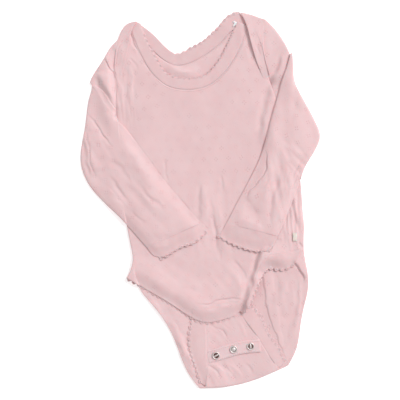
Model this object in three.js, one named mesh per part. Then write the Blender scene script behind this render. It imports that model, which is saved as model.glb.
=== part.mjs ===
// A baby's long-sleeved bodysuit of fine pointelle knit, laid flat on its back with both sleeves
// folded in over the front. Millimetres, +Z up. The origin is on the surface that it lies on, under
// the middle of the garment, with +Y towards the neck and +X towards the sleeve on the right.
//
// Every cloth piece is a closed wall. Its plan comes from a few measured edge points, and its height
// from what lies under it, so that each layer rests on the one below with a small gap.
import * as THREE from "three";
import { mergeVertices } from "three/addons/utils/BufferGeometryUtils.js";

const WALL = 1.2; // the knit, as a wall
const SEAM = 0.3; // clearance between sewn or stacked pieces
const REST = 0.45; // clearance under a sleeve, which lies loose
const TURN = 0.4; // inside radius where the seat turns up into the snap tab
const BAND = 17; // width of the ribbed leg band
const PICOT_PITCH = 6.5; // one scallop of the edging
const PICOT_DEPTH = 1.7;
const TORSO_AIR = 1.8; // how far the front stands off the back in the middle
const SNAP_DIAMETER = 9;

// Colours of the cloth and the snaps.
const pinkKnit = { color: 0xe9cacb, roughness: 0.95, metalness: 0 };
const pinkRib = { color: 0xe5c6c7, roughness: 0.95, metalness: 0 };
const pinkTape = { color: 0xe8cbcc, roughness: 0.85, metalness: 0 };
const nickel = { color: 0xb9b2ae, roughness: 0.35, metalness: 0.9 };
const whiteSatin = { color: 0xf5efe9, roughness: 0.6, metalness: 0 };

// Measured edges, each from a few points of the laid garment.
const at = (x, y) => ({ x, y });
const FRONT_NECK = [at(-79.5, 194.5), at(-69, 168), at(-55, 145), at(-37, 130), at(-12.5, 126),
  at(9, 130.5), at(28.5, 147), at(42.5, 168), at(56.5, 200)];
const FRONT_NECK_EDGE = [at(-70.5, 203.5), at(-58.5, 177), at(-48.5, 158.5), at(-35.5, 142.5),
  at(-12.5, 138.5), at(6, 142.5), at(19.5, 156), at(31, 176), at(43.5, 204)];
const BACK_NECK = [at(-79.5, 194.5), at(-60, 177), at(-46, 163.5), at(-28.5, 154), at(-11.5, 157),
  at(7, 167), at(23, 179.5), at(37, 194.5), at(56.5, 200)];
const BACK_NECK_EDGE = [at(-73, 205), at(-53, 189.5), at(-39, 175), at(-27.5, 167.5), at(-14, 172),
  at(3.5, 181.5), at(19.5, 195.5), at(32, 209.5), at(45, 216)];
const ARMHOLE_LEFT = [at(-79.5, 194.5), at(-87.5, 185.5), at(-94, 171), at(-97, 154), at(-96.3, 135),
  at(-94, 96)];
const ARMHOLE_RIGHT = [at(56.5, 200), at(65, 192), at(68.5, 178), at(71.5, 163), at(76, 147),
  at(83, 125), at(93, 96)];
const ARM_SEAM_LEFT = [at(-94.8, 185.2), at(-97, 171), at(-98.6, 154), at(-97.6, 135), at(-95, 96)];
const ARM_SEAM_RIGHT = [at(74.6, 207.4), at(72, 194), at(71.8, 178), at(73.6, 163), at(77.6, 147),
  at(84.4, 125), at(94.2, 96)];
const FRONT_LEFT = [...ARMHOLE_LEFT, at(-92, 69), at(-91, 23), at(-84, -28.5), at(-79.5, -51.5),
  at(-76, -71.5), at(-84, -89.5)];
const FRONT_RIGHT = [...ARMHOLE_RIGHT, at(103.5, 69), at(112.5, 40), at(116, 14), at(117.5, -11.5),
  at(119.5, -30), at(117.5, -57.5)];
const FRONT_HEM = [at(-84, -89.5), at(-57.5, -104.5), at(-32, -119.5), at(-8, -135.5), at(7, -140.5),
  at(25.5, -137), at(42.5, -131), at(51.5, -117.5), at(60, -96.5), at(68, -76), at(75, -65),
  at(88, -62), at(103.5, -59), at(117.5, -57.5)];
const BACK_LEFT = [...ARMHOLE_LEFT, at(-92, 69), at(-91, 23), at(-84, -28.5), at(-77, -57.5),
  at(-71.5, -100), at(-54, -120.5), at(-38, -141.5), at(-25.5, -169), at(-15, -198), at(-1, -215.4)];
const BACK_RIGHT = [...ARMHOLE_RIGHT, at(103.5, 69), at(112.5, 40), at(116, 14), at(117.5, -11.5),
  at(119.5, -30), at(118.5, -60), at(125.5, -96.5), at(119.5, -120.5), at(114, -149.5), at(112.5, -169),
  at(101, -189.8)];
const SEAT_FOLD = [at(-1, -215.4), at(25.5, -214.5), at(47, -210.9), at(65.5, -205.2), at(84.5, -197),
  at(101, -189.8)];
const TAB_FOLD = [at(7, -213), at(25.5, -212), at(47, -208.4), at(65.5, -202.7), at(89.5, -192.2)];
const TAB_LEFT = [at(7, -213), at(8, -189.5), at(8, -167), at(7, -141.5), at(6, -124)];
const TAB_RIGHT = [at(89.5, -192.2), at(75, -172.5), at(66.5, -157.5), at(47, -132), at(40, -118.5)];
const TAB_LEFT_EDGE = [at(1.5, -211), at(-4.5, -193), at(-11, -175), at(-12.5, -156.5), at(-9, -138),
  at(-7, -124)];
const TAB_RIGHT_EDGE = [at(97.5, -186), at(88.5, -168), at(78, -153), at(70, -135.5), at(61, -124),
  at(53, -115)];
const LEG_BAND_EDGE = [at(49.5, -129), at(57.5, -117), at(65.5, -97), at(73.5, -83.5), at(80.5, -78),
  at(89, -79.5), at(98, -79), at(108.5, -73)];

// Sleeve sections, from the armhole to the cuff seam: the outer edge and the inner edge of the flat tube.
const SLEEVE_LEFT = [
  { outX: -94.8, outY: 185.2, inX: -95, inY: 96, air: 0.1 },
  { outX: -103, outY: 175.5, inX: -96, inY: 94.5, air: 0.6 },
  { outX: -110.5, outY: 161, inX: -96.5, inY: 93, air: 1.2 },
  { outX: -126, outY: 138.5, inX: -96, inY: 91.5, air: 1.6 },
  { outX: -123.4, outY: 129, inX: -95, inY: 90.2, air: 1.7 },
  { outX: -128.6, outY: 112.5, inX: -93, inY: 88.8, air: 1.8 },
  { outX: -132, outY: 80.5, inX: -87.5, inY: 85, air: 2 },
  { outX: -138, outY: 48.5, inX: -75, inY: 69, air: 2 },
  { outX: -130, outY: 20.5, inX: -61, inY: 49.5, air: 2 },
  { outX: -110.5, outY: -2.5, inX: -47, inY: 30, air: 2 },
  { outX: -92, outY: -19.5, inX: -32, inY: 11.5, air: 2 },
  { outX: -75, outY: -38, inX: -16, inY: -7, air: 1.8 },
  { outX: -61, outY: -54, inX: 1, inY: -26.5, air: 1.4 },
];
const CUFF_LEFT = [
  { outX: -60.7, outY: -54.4, inX: 1.3, inY: -26.9, air: 1.4 },
  { outX: -54, outY: -63.5, inX: 6.5, inY: -31, air: 1.7 },
  { outX: -46.5, outY: -71, inX: 10, inY: -36, air: 2 },
];
const SLEEVE_RIGHT_HEAD = [
  { outX: 74.6, outY: 207.4, inX: 94.2, inY: 96, air: 0.1 },
  { outX: 84.5, outY: 198.5, inX: 96, inY: 95.2, air: 0.6 },
  { outX: 93, outY: 186.5, inX: 97.2, inY: 95, air: 0.8 },
  { outX: 103.5, outY: 170, inX: 99, inY: 95, air: 0.8 },
  { outX: 105, outY: 152, inX: 101, inY: 97, air: 0.4 },
];
const SLEEVE_RIGHT = [
  { outX: 105.5, outY: 168, inX: 103.5, inY: 167.5, air: 0.6 },
  { outX: 106.5, outY: 156.5, inX: 100, inY: 154, air: 1.2 },
  { outX: 107, outY: 138, inX: 93, inY: 135.5, air: 1.8 },
  { outX: 115, outY: 121, inX: 87.5, inY: 115, air: 2.2 },
  { outX: 126.5, outY: 101, inX: 81.5, inY: 95.5, air: 2.4 },
  { outX: 135.5, outY: 83, inX: 76.5, inY: 76, air: 2.4 },
  { outX: 138, outY: 70, inX: 72, inY: 57.5, air: 2.4 },
  { outX: 129, outY: 52, inX: 63.5, inY: 37, air: 2.2 },
  { outX: 119.5, outY: 37, inX: 55, inY: 20.5, air: 2 },
  { outX: 114, outY: 19.5, inX: 47, inY: 5.5, air: 2 },
  { outX: 104.5, outY: -4.5, inX: 39.5, inY: -8.5, air: 2 },
  { outX: 96.5, outY: -24, inX: 34, inY: -19.5, air: 1.8 },
  { outX: 89, outY: -41.5, inX: 30, inY: -26.5, air: 1.4 },
];
const CUFF_RIGHT = [
  { outX: 88.8, outY: -42, inX: 29.8, inY: -27, air: 1.4 },
  { outX: 84.5, outY: -51, inX: 25.5, inY: -36, air: 1.7 },
  { outX: 80.5, outY: -60, inX: 22, inY: -43.5, air: 2 },
];

// Largest soft folds: from one end to the other, the sideways bow, the height (below 0 for a trough)
// and the half width.
const FRONT_FOLDS = [
  { x0: -84, y0: 168, x1: -83, y1: 112, bow: 2, height: 1.1, half: 8 },
  { x0: 0, y0: 30, x1: 4, y1: -32, bow: 3, height: 1.2, half: 10 },
  { x0: 16, y0: -8, x1: 27, y1: -72, bow: -3, height: -1.1, half: 8 },
  { x0: 36, y0: -64, x1: 55, y1: -92, bow: 0, height: -1, half: 8 },
  { x0: 2, y0: -121, x1: 44, y1: -112, bow: 2, height: -1.4, half: 7 },
  { x0: 8, y0: -131, x1: 36, y1: -126, bow: 0, height: 1, half: 9 },
  { x0: 66, y0: -66, x1: 48, y1: -118, bow: 0, height: 1.6, half: 9 },
  { x0: 96, y0: -2, x1: 92, y1: -48, bow: 2, height: 1.3, half: 7 },
  { x0: 108, y0: 6, x1: 107, y1: -44, bow: -2, height: 1.2, half: 6 },
];
const SEAT_FOLDS = [
  { x0: 74, y0: -90, x1: 90, y1: -158, bow: 4, height: 1.6, half: 8 },
  { x0: -40, y0: -112, x1: -20, y1: -160, bow: 3, height: 1, half: 9 },
];
const TAB_FOLDS = [
  { x0: 16, y0: -196, x1: 34, y1: -214, bow: 0, height: 0.8, half: 8 },
  { x0: 13, y0: -146, x1: 38, y1: -160, bow: -2, height: -0.5, half: 7 },
];
const SLEEVE_LEFT_FOLDS = [
  { x0: -106, y0: 136, x1: -97, y1: 100, bow: 0, height: -1.6, half: 7 },
  { x0: -116, y0: 130, x1: -102, y1: 94, bow: 0, height: 1.1, half: 7 },
  { x0: -128, y0: 104, x1: -96, y1: 60, bow: 3, height: -1.8, half: 7 },
  { x0: -132, y0: 70, x1: -121, y1: 32, bow: 0, height: -1.6, half: 7 },
  { x0: -107, y0: 44, x1: -74, y1: 15, bow: 4, height: -1.7, half: 8 },
  { x0: -102, y0: 24, x1: -80, y1: -8, bow: 3, height: -1.5, half: 8 },
  { x0: -78, y0: -14, x1: -65, y1: -26, bow: 0, height: -1.2, half: 7 },
  { x0: -75, y0: 60, x1: -58, y1: 34, bow: 0, height: 1.2, half: 10 },
  { x0: -66, y0: 14, x1: -40, y1: -12, bow: 0, height: 1.1, half: 10 },
];
const SLEEVE_RIGHT_FOLDS = [
  { x0: 90, y0: 112, x1: 76, y1: 52, bow: 3, height: 1.2, half: 8 },
  { x0: 88, y0: 36, x1: 80, y1: -26, bow: 4, height: -1.8, half: 8 },
  { x0: 68, y0: 34, x1: 52, y1: 8, bow: 2, height: -1.6, half: 7 },
  { x0: 62, y0: -2, x1: 50, y1: -20, bow: 0, height: -1.2, half: 10 },
  { x0: 120, y0: 52, x1: 106, y1: 24, bow: 3, height: -1.6, half: 7 },
  { x0: 100, y0: 100, x1: 116, y1: 76, bow: 0, height: 1, half: 12 },
];

const SNAPS = [at(18.5, -178), at(38.5, -171), at(58, -167.5)];
const TAPE_LINE = [at(9, -180), at(28, -174.5), at(48, -169), at(69, -167)];
const TAPE_WIDTH = 14;
const LABEL = { x: 108.5, y: -42.5, width: 4.5, length: 9 };

// Cells of the two panels, across and down.
const FRONT_CELLS = { across: 27, down: 24 };
const BACK_CELLS = { across: 20, down: 23 };
const TAB_CELLS = 8;
const LEG_BAND_START = 0.565; // share of the front hem's length where its right leg band begins

const { clamp, lerp, smoothstep } = THREE.MathUtils;

// A smooth line through measured points, walked by its length from 0 to 1.
function line(points) {
  const knots = points.map((p) => new THREE.Vector3(p.x, p.y, 0));
  const curve = new THREE.CatmullRomCurve3(knots, false, "centripetal");
  curve.arcLengthDivisions = 300;
  return (t) => curve.getPointAt(clamp(t, 0, 1));
}

// The same line as the straight chords of a panel's edge with that many cells, from one share of it
// to another.
function chords(points, cells, from = 0, to = 1) {
  const walk = line(points);
  const corners = Array.from({ length: cells + 1 }, (_, i) => walk(i / cells));
  return (t) => {
    const s = clamp(lerp(from, to, t) * cells, 0, cells);
    const i = Math.min(Math.floor(s), cells - 1);
    return at(lerp(corners[i].x, corners[i + 1].x, s - i), lerp(corners[i].y, corners[i + 1].y, s - i));
  };
}

// Distance from a place to a line, as a short walk along its chords.
function distanceTo(samples, x, y) {
  let best = Infinity;
  for (let i = 1; i < samples.length; i++) {
    const a = samples[i - 1];
    const b = samples[i];
    const dx = b.x - a.x;
    const dy = b.y - a.y;
    const t = clamp(((x - a.x) * dx + (y - a.y) * dy) / (dx * dx + dy * dy || 1), 0, 1);
    best = Math.min(best, Math.hypot(x - a.x - t * dx, y - a.y - t * dy));
  }
  return best;
}

const sampled = (points, n = 48) => Array.from({ length: n + 1 }, (_, i) => line(points)(i / n));

function isInside(outline, x, y) {
  let inside = false;
  for (let i = 0, j = outline.length - 1; i < outline.length; j = i++) {
    const a = outline[i];
    const b = outline[j];
    if (a.y > y !== b.y > y && x < ((b.x - a.x) * (y - a.y)) / (b.y - a.y) + a.x) inside = !inside;
  }
  return inside;
}

// How far a place is inside an outline, below 0 outside it.
const depthIn = (outline, x, y) =>
  (isInside(outline, x, y) ? 1 : -1) * distanceTo([...outline, outline[0]], x, y);

// Height of the soft folds at a place.
function relief(folds, x, y) {
  let height = 0;
  for (const f of folds) {
    const dx = f.x1 - f.x0;
    const dy = f.y1 - f.y0;
    const length = Math.hypot(dx, dy);
    const along = ((x - f.x0) * dx + (y - f.y0) * dy) / (length * length);
    const off = ((x - f.x0) * -dy + (y - f.y0) * dx) / length - f.bow * 4 * along * (1 - along);
    const ends = smoothstep(along, -0.15, 0.25) * (1 - smoothstep(along, 0.75, 1.15));
    if (Math.abs(off) < f.half) height += f.height * ends * (0.5 + 0.5 * Math.cos((Math.PI * off) / f.half));
  }
  return height;
}

// A closed mesh from triangles given by their corners. Corners that meet become one vertex.
function solid(name, finish, triangles) {
  const corners = new Float32Array(triangles.length * 9);
  triangles.forEach((t, i) => t.forEach((p, j) => corners.set([p.x, p.y, p.z], i * 9 + j * 3)));
  let geometry = new THREE.BufferGeometry().setAttribute("position", new THREE.BufferAttribute(corners, 3));
  geometry = mergeVertices(geometry, 2e-3);
  const index = [...geometry.index.array];
  const kept = [];
  for (let i = 0; i < index.length; i += 3) {
    const [a, b, c] = index.slice(i, i + 3);
    if (a !== b && b !== c && c !== a) kept.push(a, b, c);
  }
  const p = geometry.attributes.position;
  const corner = (i) => new THREE.Vector3().fromBufferAttribute(p, i);
  let volume = 0;
  for (let i = 0; i < kept.length; i += 3) {
    volume += corner(kept[i]).dot(corner(kept[i + 1]).cross(corner(kept[i + 2])));
  }
  if (volume < 0) kept.reverse();
  geometry.setIndex(kept);
  geometry.computeVertexNormals();
  const mesh = new THREE.Mesh(geometry, new THREE.MeshStandardMaterial(finish));
  mesh.name = name;
  return mesh;
}

const quad = (out, a, b, c, d) => out.push([a, b, c], [a, c, d]);

// A wall between two faces, given as rows of points: near[j][i] and far[j][i].
function wall(name, finish, near, far) {
  const out = [];
  const rows = near.length - 1;
  const columns = near[0].length - 1;
  for (let j = 0; j < rows; j++) {
    for (let i = 0; i < columns; i++) {
      quad(out, near[j][i], near[j][i + 1], near[j + 1][i + 1], near[j + 1][i]);
      quad(out, far[j][i], far[j + 1][i], far[j + 1][i + 1], far[j][i + 1]);
    }
    quad(out, near[j][0], near[j + 1][0], far[j + 1][0], far[j][0]);
    quad(out, near[j][columns], far[j][columns], far[j + 1][columns], near[j + 1][columns]);
  }
  for (let i = 0; i < columns; i++) {
    quad(out, near[0][i], far[0][i], far[0][i + 1], near[0][i + 1]);
    quad(out, near[rows][i], near[rows][i + 1], far[rows][i + 1], far[rows][i]);
  }
  return solid(name, finish, out);
}

// A patch between four edges: across from left to right, down from top to bottom.
function patch(top, bottom, left, right) {
  const [t, b, l, r] = [top, bottom, left, right].map(line);
  const mix = (u, v, k) =>
    (1 - v) * t(u)[k] + v * b(u)[k] + (1 - u) * l(v)[k] + u * r(v)[k] -
    (1 - u) * (1 - v) * l(0)[k] - u * (1 - v) * r(0)[k] - (1 - u) * v * l(1)[k] - u * v * r(1)[k];
  return (u, v) => at(mix(u, v, "x"), mix(u, v, "y"));
}

const row = (columns, make) => Array.from({ length: columns + 1 }, (_, i) => make(i / columns));
const grid = (rows, columns, make) => row(rows, (v) => row(columns, (u) => make(u, v)));

// Outlines and lines that the heights are measured from.
const legHemLeft = BACK_LEFT.slice(-6);
const legHemRight = BACK_RIGHT.slice(-6);
const legLeft = sampled(legHemLeft, 30);
const legRight = sampled(legHemRight, 30);
const tabOutline = [...sampled(TAB_LEFT_EDGE, 24), ...sampled(TAB_RIGHT_EDGE, 24).reverse()];
const torsoSides = [sampled(FRONT_LEFT.slice(3), 40), sampled(FRONT_RIGHT.slice(4), 40)];
const hemTrim = sampled(FRONT_HEM.slice(0, 7), 40);
const footAndLeft = [...sampled(LEG_BAND_EDGE, 30).reverse(), ...[...hemTrim].reverse(),
  ...sampled(FRONT_LEFT, 60).reverse()];
const neckPoints = sampled(FRONT_NECK_EDGE, 30);
const torsoOutline = [at(-72, 205), ...neckPoints, ...sampled(FRONT_RIGHT, 60), ...footAndLeft];
const headSide = [at(56.5, 200), at(74.5, 207.5), at(84.5, 198.5), at(93, 186.5), at(104.5, 169),
  at(107, 150), at(106, 125), at(105, 95)];
const rightSupport = [...neckPoints, ...headSide, ...sampled(FRONT_RIGHT.slice(7), 40), ...footAndLeft];

// Undersides and tops of the layers, from the table up.
const tuckedBand = (x, y) => {
  const d = Math.min(distanceTo(legLeft, x, y), distanceTo(legRight, x, y));
  return (WALL + SEAM) * (1 - smoothstep(d, BAND, BAND + 28));
};
const backBottom = (x, y) => tuckedBand(x, y) + Math.max(0, relief(SEAT_FOLDS, x, y));
const backTop = (x, y) => backBottom(x, y) + WALL;
const tabBottom = (x, y) => backTop(x, y) + 2 * TURN + relief(TAB_FOLDS, x, y);
const tabTop = (x, y) => tabBottom(x, y) + WALL;
const onTab = (x, y, flat, end) => 1 - smoothstep(-depthIn(tabOutline, x, y), flat, end);
const trimBottom = (x, y) => backTop(x, y) + 1.5 * SEAM + (WALL + 2 * TURN) * onTab(x, y, 4, 16);
const underTrim = (x, y) => (WALL + 2 * SEAM) * (1 - smoothstep(distanceTo(hemTrim, x, y), 16, 34));
const torsoAir = (x, y) => {
  const d = Math.min(distanceTo(torsoSides[0], x, y), distanceTo(torsoSides[1], x, y));
  return TORSO_AIR * smoothstep(d, 0, 28) * smoothstep(190 - y, 0, 60);
};
const frontBottom = (x, y) => {
  const air = torsoAir(x, y);
  const folds = Math.max(relief(FRONT_FOLDS, x, y), -air * 0.8);
  const overTab = (WALL + 2 * TURN) * onTab(x, y, 9, 30);
  return backTop(x, y) + SEAM + overTab + underTrim(x, y) + air + folds;
};
const frontTop = (x, y) => frontBottom(x, y) + WALL;

// The shoulder flap lies on the front and rolls down past its edge.
const flapBottom = (x, y) => {
  const past = smoothstep(-depthIn(torsoOutline, x, y), 1, 9);
  return lerp(frontTop(x, y) + 1.5 * SEAM, WALL + 1.5 * SEAM, past);
};

// What a sleeve lies on: the front, then a slope down to the table beyond the garment's side.
function support(outline, x, y) {
  const d = depthIn(outline, x, y);
  const edge = 2 * WALL + SEAM;
  const near = [[0, 0], [5, 0], [-5, 0], [0, 5], [0, -5]].map(([dx, dy]) => frontTop(x + dx, y + dy));
  return d > 0 ? Math.max(...near, edge) + REST : (edge + REST) * (1 - smoothstep(-d, 6, 26));
}

// The row of a table of sections at a place from 0 to 1, smoothed between its rows.
function sectionAt(table, t) {
  const section = (i) => table[clamp(i, 0, table.length - 1)];
  const s = clamp(t, 0, 1) * (table.length - 1);
  const i = Math.min(Math.floor(s), table.length - 2);
  const f = s - i;
  const value = (k) => {
    const [a, b, c, d] = [section(i - 1)[k], section(i)[k], section(i + 1)[k], section(i + 2)[k]];
    return b + 0.5 * f * (c - a + f * (2 * a - 5 * b + 4 * c - d + f * (3 * (b - c) + d - a)));
  };
  return {
    out: at(value("outX"), value("outY")),
    in: at(value("inX"), value("inY")),
    air: Math.max(0.1, value("air")),
  };
}

// How a flat tube's section is stepped from its outer to its inner edge, outside and in the hollow.
const ACROSS = [0, 0.018, 0.06, 0.17, 0.33, 0.5, 0.67, 0.83, 0.94, 0.982, 1];
const HOLLOW = [0.05, 0.062, 0.09, 0.19, 0.34, 0.5, 0.66, 0.81, 0.91, 0.938, 0.95];
const ROUNDING = [0.5, 0.12, 0, 0, 0, 0, 0, 0, 0, 0.12, 0.5]; // share of the height that the edges take off
const SECTION = { across: ACROSS, hollow: HOLLOW, rounding: ROUNDING };

// A flat tube of cloth: rings of sections, each with a lower and an upper wall. bend gives the plan
// offset at the armhole, low the underside, closed a start that is folded shut, end the last ring's shape.
function tube(name, finish, { table, rings, low, folds = [], bend, closed = false, end, section = SECTION }) {
  const { across, hollow, rounding } = section;
  const outer = [];
  const inner = [];
  for (let j = 0; j <= rings; j++) {
    const t = j / rings;
    const s = sectionAt(table, t);
    const place = (u) => {
      const aside = bend ? bend(u, t) : at(0, 0);
      return at(lerp(s.out.x, s.in.x, u) + aside.x, lerp(s.out.y, s.in.y, u) + aside.y);
    };
    const shut = closed ? smoothstep(t, 0, 0.06) : 1;
    const point = (u, share, upper, inset) => {
      const p = place(u);
      const air = Math.max(0.1, s.air * (0.55 + 1.8 * u * (1 - u)) + relief(folds, p.x, p.y)) * shut;
      const height = 2 * WALL + air;
      const base = low(p.x, p.y, t, u);
      const half = height / 2 - inset;
      const z = base + height / 2 + (upper ? 1 : -1) * half * (1 - 2 * share);
      return new THREE.Vector3(p.x, p.y, z);
    };
    const ring = (steps, inset) => {
      const lower = steps.map((u, i) => point(u, rounding[i], false, inset));
      const upper = steps.map((u, i) => point(u, rounding[i], true, inset)).slice(1, -1).reverse();
      return [...lower, ...upper];
    };
    outer.push(ring(across, 0));
    inner.push(ring(hollow, WALL));
  }
  if (end) outer[rings] = outer[rings].map((p, i) => end(p, i, outer[rings - 1]));
  const out = [];
  const count = outer[0].length;
  const first = closed ? 1 : 0;
  for (let i = 0; i < count; i++) {
    const k = (i + 1) % count;
    for (let j = 0; j < rings; j++) {
      quad(out, outer[j][i], outer[j][k], outer[j + 1][k], outer[j + 1][i]);
      if (j >= first) quad(out, inner[j][i], inner[j + 1][i], inner[j + 1][k], inner[j][k]);
    }
    if (!closed) quad(out, outer[0][i], inner[0][i], inner[0][k], outer[0][k]);
    quad(out, outer[rings][i], outer[rings][k], inner[rings][k], inner[rings][i]);
  }
  if (closed) {
    for (const [loop, turn] of [[outer[0], 1], [inner[1], -1]]) {
      const half = count / 2;
      for (let i = 0; i < half; i++) {
        const pair = (n) => loop[(count - n) % count];
        const face = [loop[i], pair(i), pair(i + 1), loop[i + 1]];
        if (turn < 0) face.reverse();
        quad(out, ...face);
      }
    }
  }
  return solid(name, finish, out);
}

// A strip of ribbing between a seam line and an edge line, with scallops along the edge.
function band(name, { seam, edge, bottom, picots = PICOT_DEPTH, scallopsFrom = 0, gap = SEAM }) {
  const free = line(edge);
  const samples = sampled(edge, 60);
  const steps = samples.slice(1).map((p, i) => Math.hypot(p.x - samples[i].x, p.y - samples[i].y));
  const length = steps.reduce((sum, step) => sum + step, 0);
  const columns = 2 * Math.max(2, Math.round(length / PICOT_PITCH));
  const place = (u, v) => {
    const a = seam(u);
    const b = free(u);
    const width = Math.hypot(b.x - a.x, b.y - a.y);
    const shown = scallopsFrom ? smoothstep(u, scallopsFrom, scallopsFrom + 0.15) : 1;
    const scallop = Math.round(u * columns) % 2 ? picots * shown : 0;
    const reach = [gap, width * 0.5, width + scallop][v];
    return at(a.x + ((b.x - a.x) * reach) / width, a.y + ((b.y - a.y) * reach) / width);
  };
  const face = (lift) =>
    [0, 1, 2].map((v) =>
      row(columns, (u) => {
        const p = place(u, v);
        return new THREE.Vector3(p.x, p.y, bottom(p.x, p.y) + lift);
      }),
    );
  return wall(name, pinkRib, face(0), face(WALL));
}

// The line that lies a distance to one side of another, for the inner edge of a turned-under band.
function beside(points, distance) {
  const walk = line(points);
  return Array.from({ length: 13 }, (_, i) => {
    const [a, b, c] = [walk(i / 12 - 0.01), walk(i / 12), walk(i / 12 + 0.01)];
    const length = Math.hypot(c.x - a.x, c.y - a.y);
    return at(b.x - ((c.y - a.y) / length) * distance, b.y + ((c.x - a.x) / length) * distance);
  });
}

function frontPanel() {
  const plan = patch(FRONT_NECK, FRONT_HEM, FRONT_LEFT, FRONT_RIGHT);
  const face = (lift) =>
    grid(FRONT_CELLS.down, FRONT_CELLS.across, (u, v) => {
      const p = plan(u, v);
      return new THREE.Vector3(p.x, p.y, frontBottom(p.x, p.y) + lift);
    });
  return wall("front_panel", pinkKnit, face(0), face(WALL));
}

// The back lies on the table, turns up at the crotch and comes back over itself as the snap tab.
function backPanel() {
  const columns = BACK_CELLS.across;
  const back = patch(BACK_NECK, SEAT_FOLD, BACK_LEFT, BACK_RIGHT);
  const tab = patch(TAB_FOLD, [at(6, -124), at(40, -118.5)], TAB_LEFT, TAB_RIGHT);
  const outside = [];
  const inside = [];
  const add = (points) => {
    outside.push(points.map((p) => new THREE.Vector3(p.x, p.y, p.outside)));
    inside.push(points.map((p) => new THREE.Vector3(p.x, p.yIn ?? p.y, p.inside)));
  };
  for (let j = 0; j <= BACK_CELLS.down; j++) {
    add(row(columns, (u) => {
      const p = back(u, j / BACK_CELLS.down);
      return { ...p, outside: backBottom(p.x, p.y), inside: backTop(p.x, p.y) };
    }));
  }
  const turnSteps = 5;
  for (let k = 1; k < turnSteps; k++) {
    const angle = (Math.PI * k) / turnSteps;
    add(row(columns, (u) => {
      const a = back(u, 1);
      const b = tab(u, 0);
      const share = k / turnSteps;
      const x = lerp(a.x, b.x, share);
      const y = lerp(a.y, b.y, share);
      const middle = lerp(backTop(a.x, a.y), tabBottom(b.x, b.y) - 2 * TURN, share) + TURN;
      const outward = Math.sin(angle);
      return {
        x,
        y: y - (WALL + TURN) * outward,
        outside: middle - (WALL + TURN) * Math.cos(angle),
        yIn: y - TURN * outward,
        inside: middle - TURN * Math.cos(angle),
      };
    }));
  }
  for (let j = 0; j <= TAB_CELLS; j++) {
    add(row(columns, (u) => {
      const p = tab(u, j / TAB_CELLS);
      return { ...p, outside: tabTop(p.x, p.y), inside: tabBottom(p.x, p.y) };
    }));
  }
  return wall("back_panel", pinkKnit, outside, inside);
}

// The back's shoulder comes over the front and ends in a free edge, as on an envelope neck.
function shoulderFlap(name, top, bottom, left, right) {
  const plan = patch(top, bottom, left, right);
  const face = (lift) =>
    grid(8, 6, (u, v) => {
      const p = plan(u, v);
      return new THREE.Vector3(p.x, p.y, flapBottom(p.x, p.y) + lift);
    });
  return wall(name, pinkKnit, face(0), face(WALL));
}

// The sleeve starts on the armhole's own curve and straightens as it leaves it.
function armholeBend(armhole, table) {
  const curve = line(armhole);
  const start = table[0];
  return (u, t) => {
    const fade = 1 - smoothstep(t, 0, 0.22);
    const p = curve(u);
    return at((p.x - lerp(start.outX, start.inX, u)) * fade, (p.y - lerp(start.outY, start.inY, u)) * fade);
  };
}

const sleeveLeftLow = (x, y, t) => {
  const risen = smoothstep(t, 0.02, 0.22);
  return support(torsoOutline, x, y) * (isInside(torsoOutline, x, y) ? 1 : risen);
};
const headLow = (x, y, t) => 0.25 * smoothstep(t, 0, 1);
const sleeveRightLow = (x, y) => support(rightSupport, x, y) + 0.6 * smoothstep(y, 60, 130);

// A cuff's section has a step for each half scallop.
const CUFF_STEPS = 20;
const cuffAcross = row(CUFF_STEPS, (u) => u).map((u, i) => [0, 0.022][i] ?? [1, 0.978][CUFF_STEPS - i] ?? u);
const CUFF_SECTION = {
  across: cuffAcross,
  hollow: cuffAcross.map((u) => 0.055 + 0.89 * u),
  rounding: cuffAcross.map((u, i) => [0.5, 0.1][i] ?? [0.5, 0.1][CUFF_STEPS - i] ?? 0),
};

function scallopedEnd(p, i, before) {
  if (i % 2) return p;
  const q = before[i];
  const length = Math.hypot(p.x - q.x, p.y - q.y);
  const reach = PICOT_DEPTH / length;
  return new THREE.Vector3(p.x + (p.x - q.x) * reach, p.y + (p.y - q.y) * reach, p.z);
}

const cuff = (name, table, low) =>
  tube(name, pinkRib, { table, rings: 3, low, end: scallopedEnd, section: CUFF_SECTION });

// A ring snap: a flange, a raised ring and a stud in the middle.
function snap(name, place) {
  const r = SNAP_DIAMETER / 2;
  const profile = [[0, 0], [r - 0.4, 0], [r, 0.4], [r - 0.5, 1.1], [r - 1.6, 1.2], [r - 1.9, 0.7], [1.5, 0.7],
    [1.3, 1.7], [0, 1.9]];
  const geometry = new THREE.LatheGeometry(profile.map(([x, y]) => new THREE.Vector2(x, y)), 14);
  geometry.rotateX(Math.PI / 2);
  const mesh = new THREE.Mesh(geometry, new THREE.MeshStandardMaterial(nickel));
  mesh.name = name;
  mesh.position.set(place.x, place.y, tabTop(place.x, place.y) + SEAM + WALL + SEAM);
  return mesh;
}

function snapTape() {
  const middle = line(TAPE_LINE);
  const face = (lift) =>
    grid(2, 10, (u, v) => {
      const p = middle(u);
      const q = middle(Math.min(u + 0.01, 1));
      const o = middle(Math.max(u - 0.01, 0));
      const length = Math.hypot(q.x - o.x, q.y - o.y);
      const off = (v - 0.5) * TAPE_WIDTH;
      const x = p.x - ((q.y - o.y) / length) * off;
      const y = p.y + ((q.x - o.x) / length) * off;
      return new THREE.Vector3(x, y, tabTop(x, y) + SEAM + lift);
    });
  return wall("snap_tape", pinkTape, face(0), face(WALL));
}

function sideLabel() {
  const face = (lift) =>
    grid(2, 1, (u, v) => {
      const x = LABEL.x + (u - 0.5) * LABEL.width;
      const y = LABEL.y + (v - 0.5) * LABEL.length;
      return new THREE.Vector3(x, y, frontTop(x, y) + SEAM + lift);
    });
  return wall("side_label", whiteSatin, face(0), face(1));
}

const onTable = () => 0;
const hemLeft = FRONT_HEM.slice(0, 7);

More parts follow.
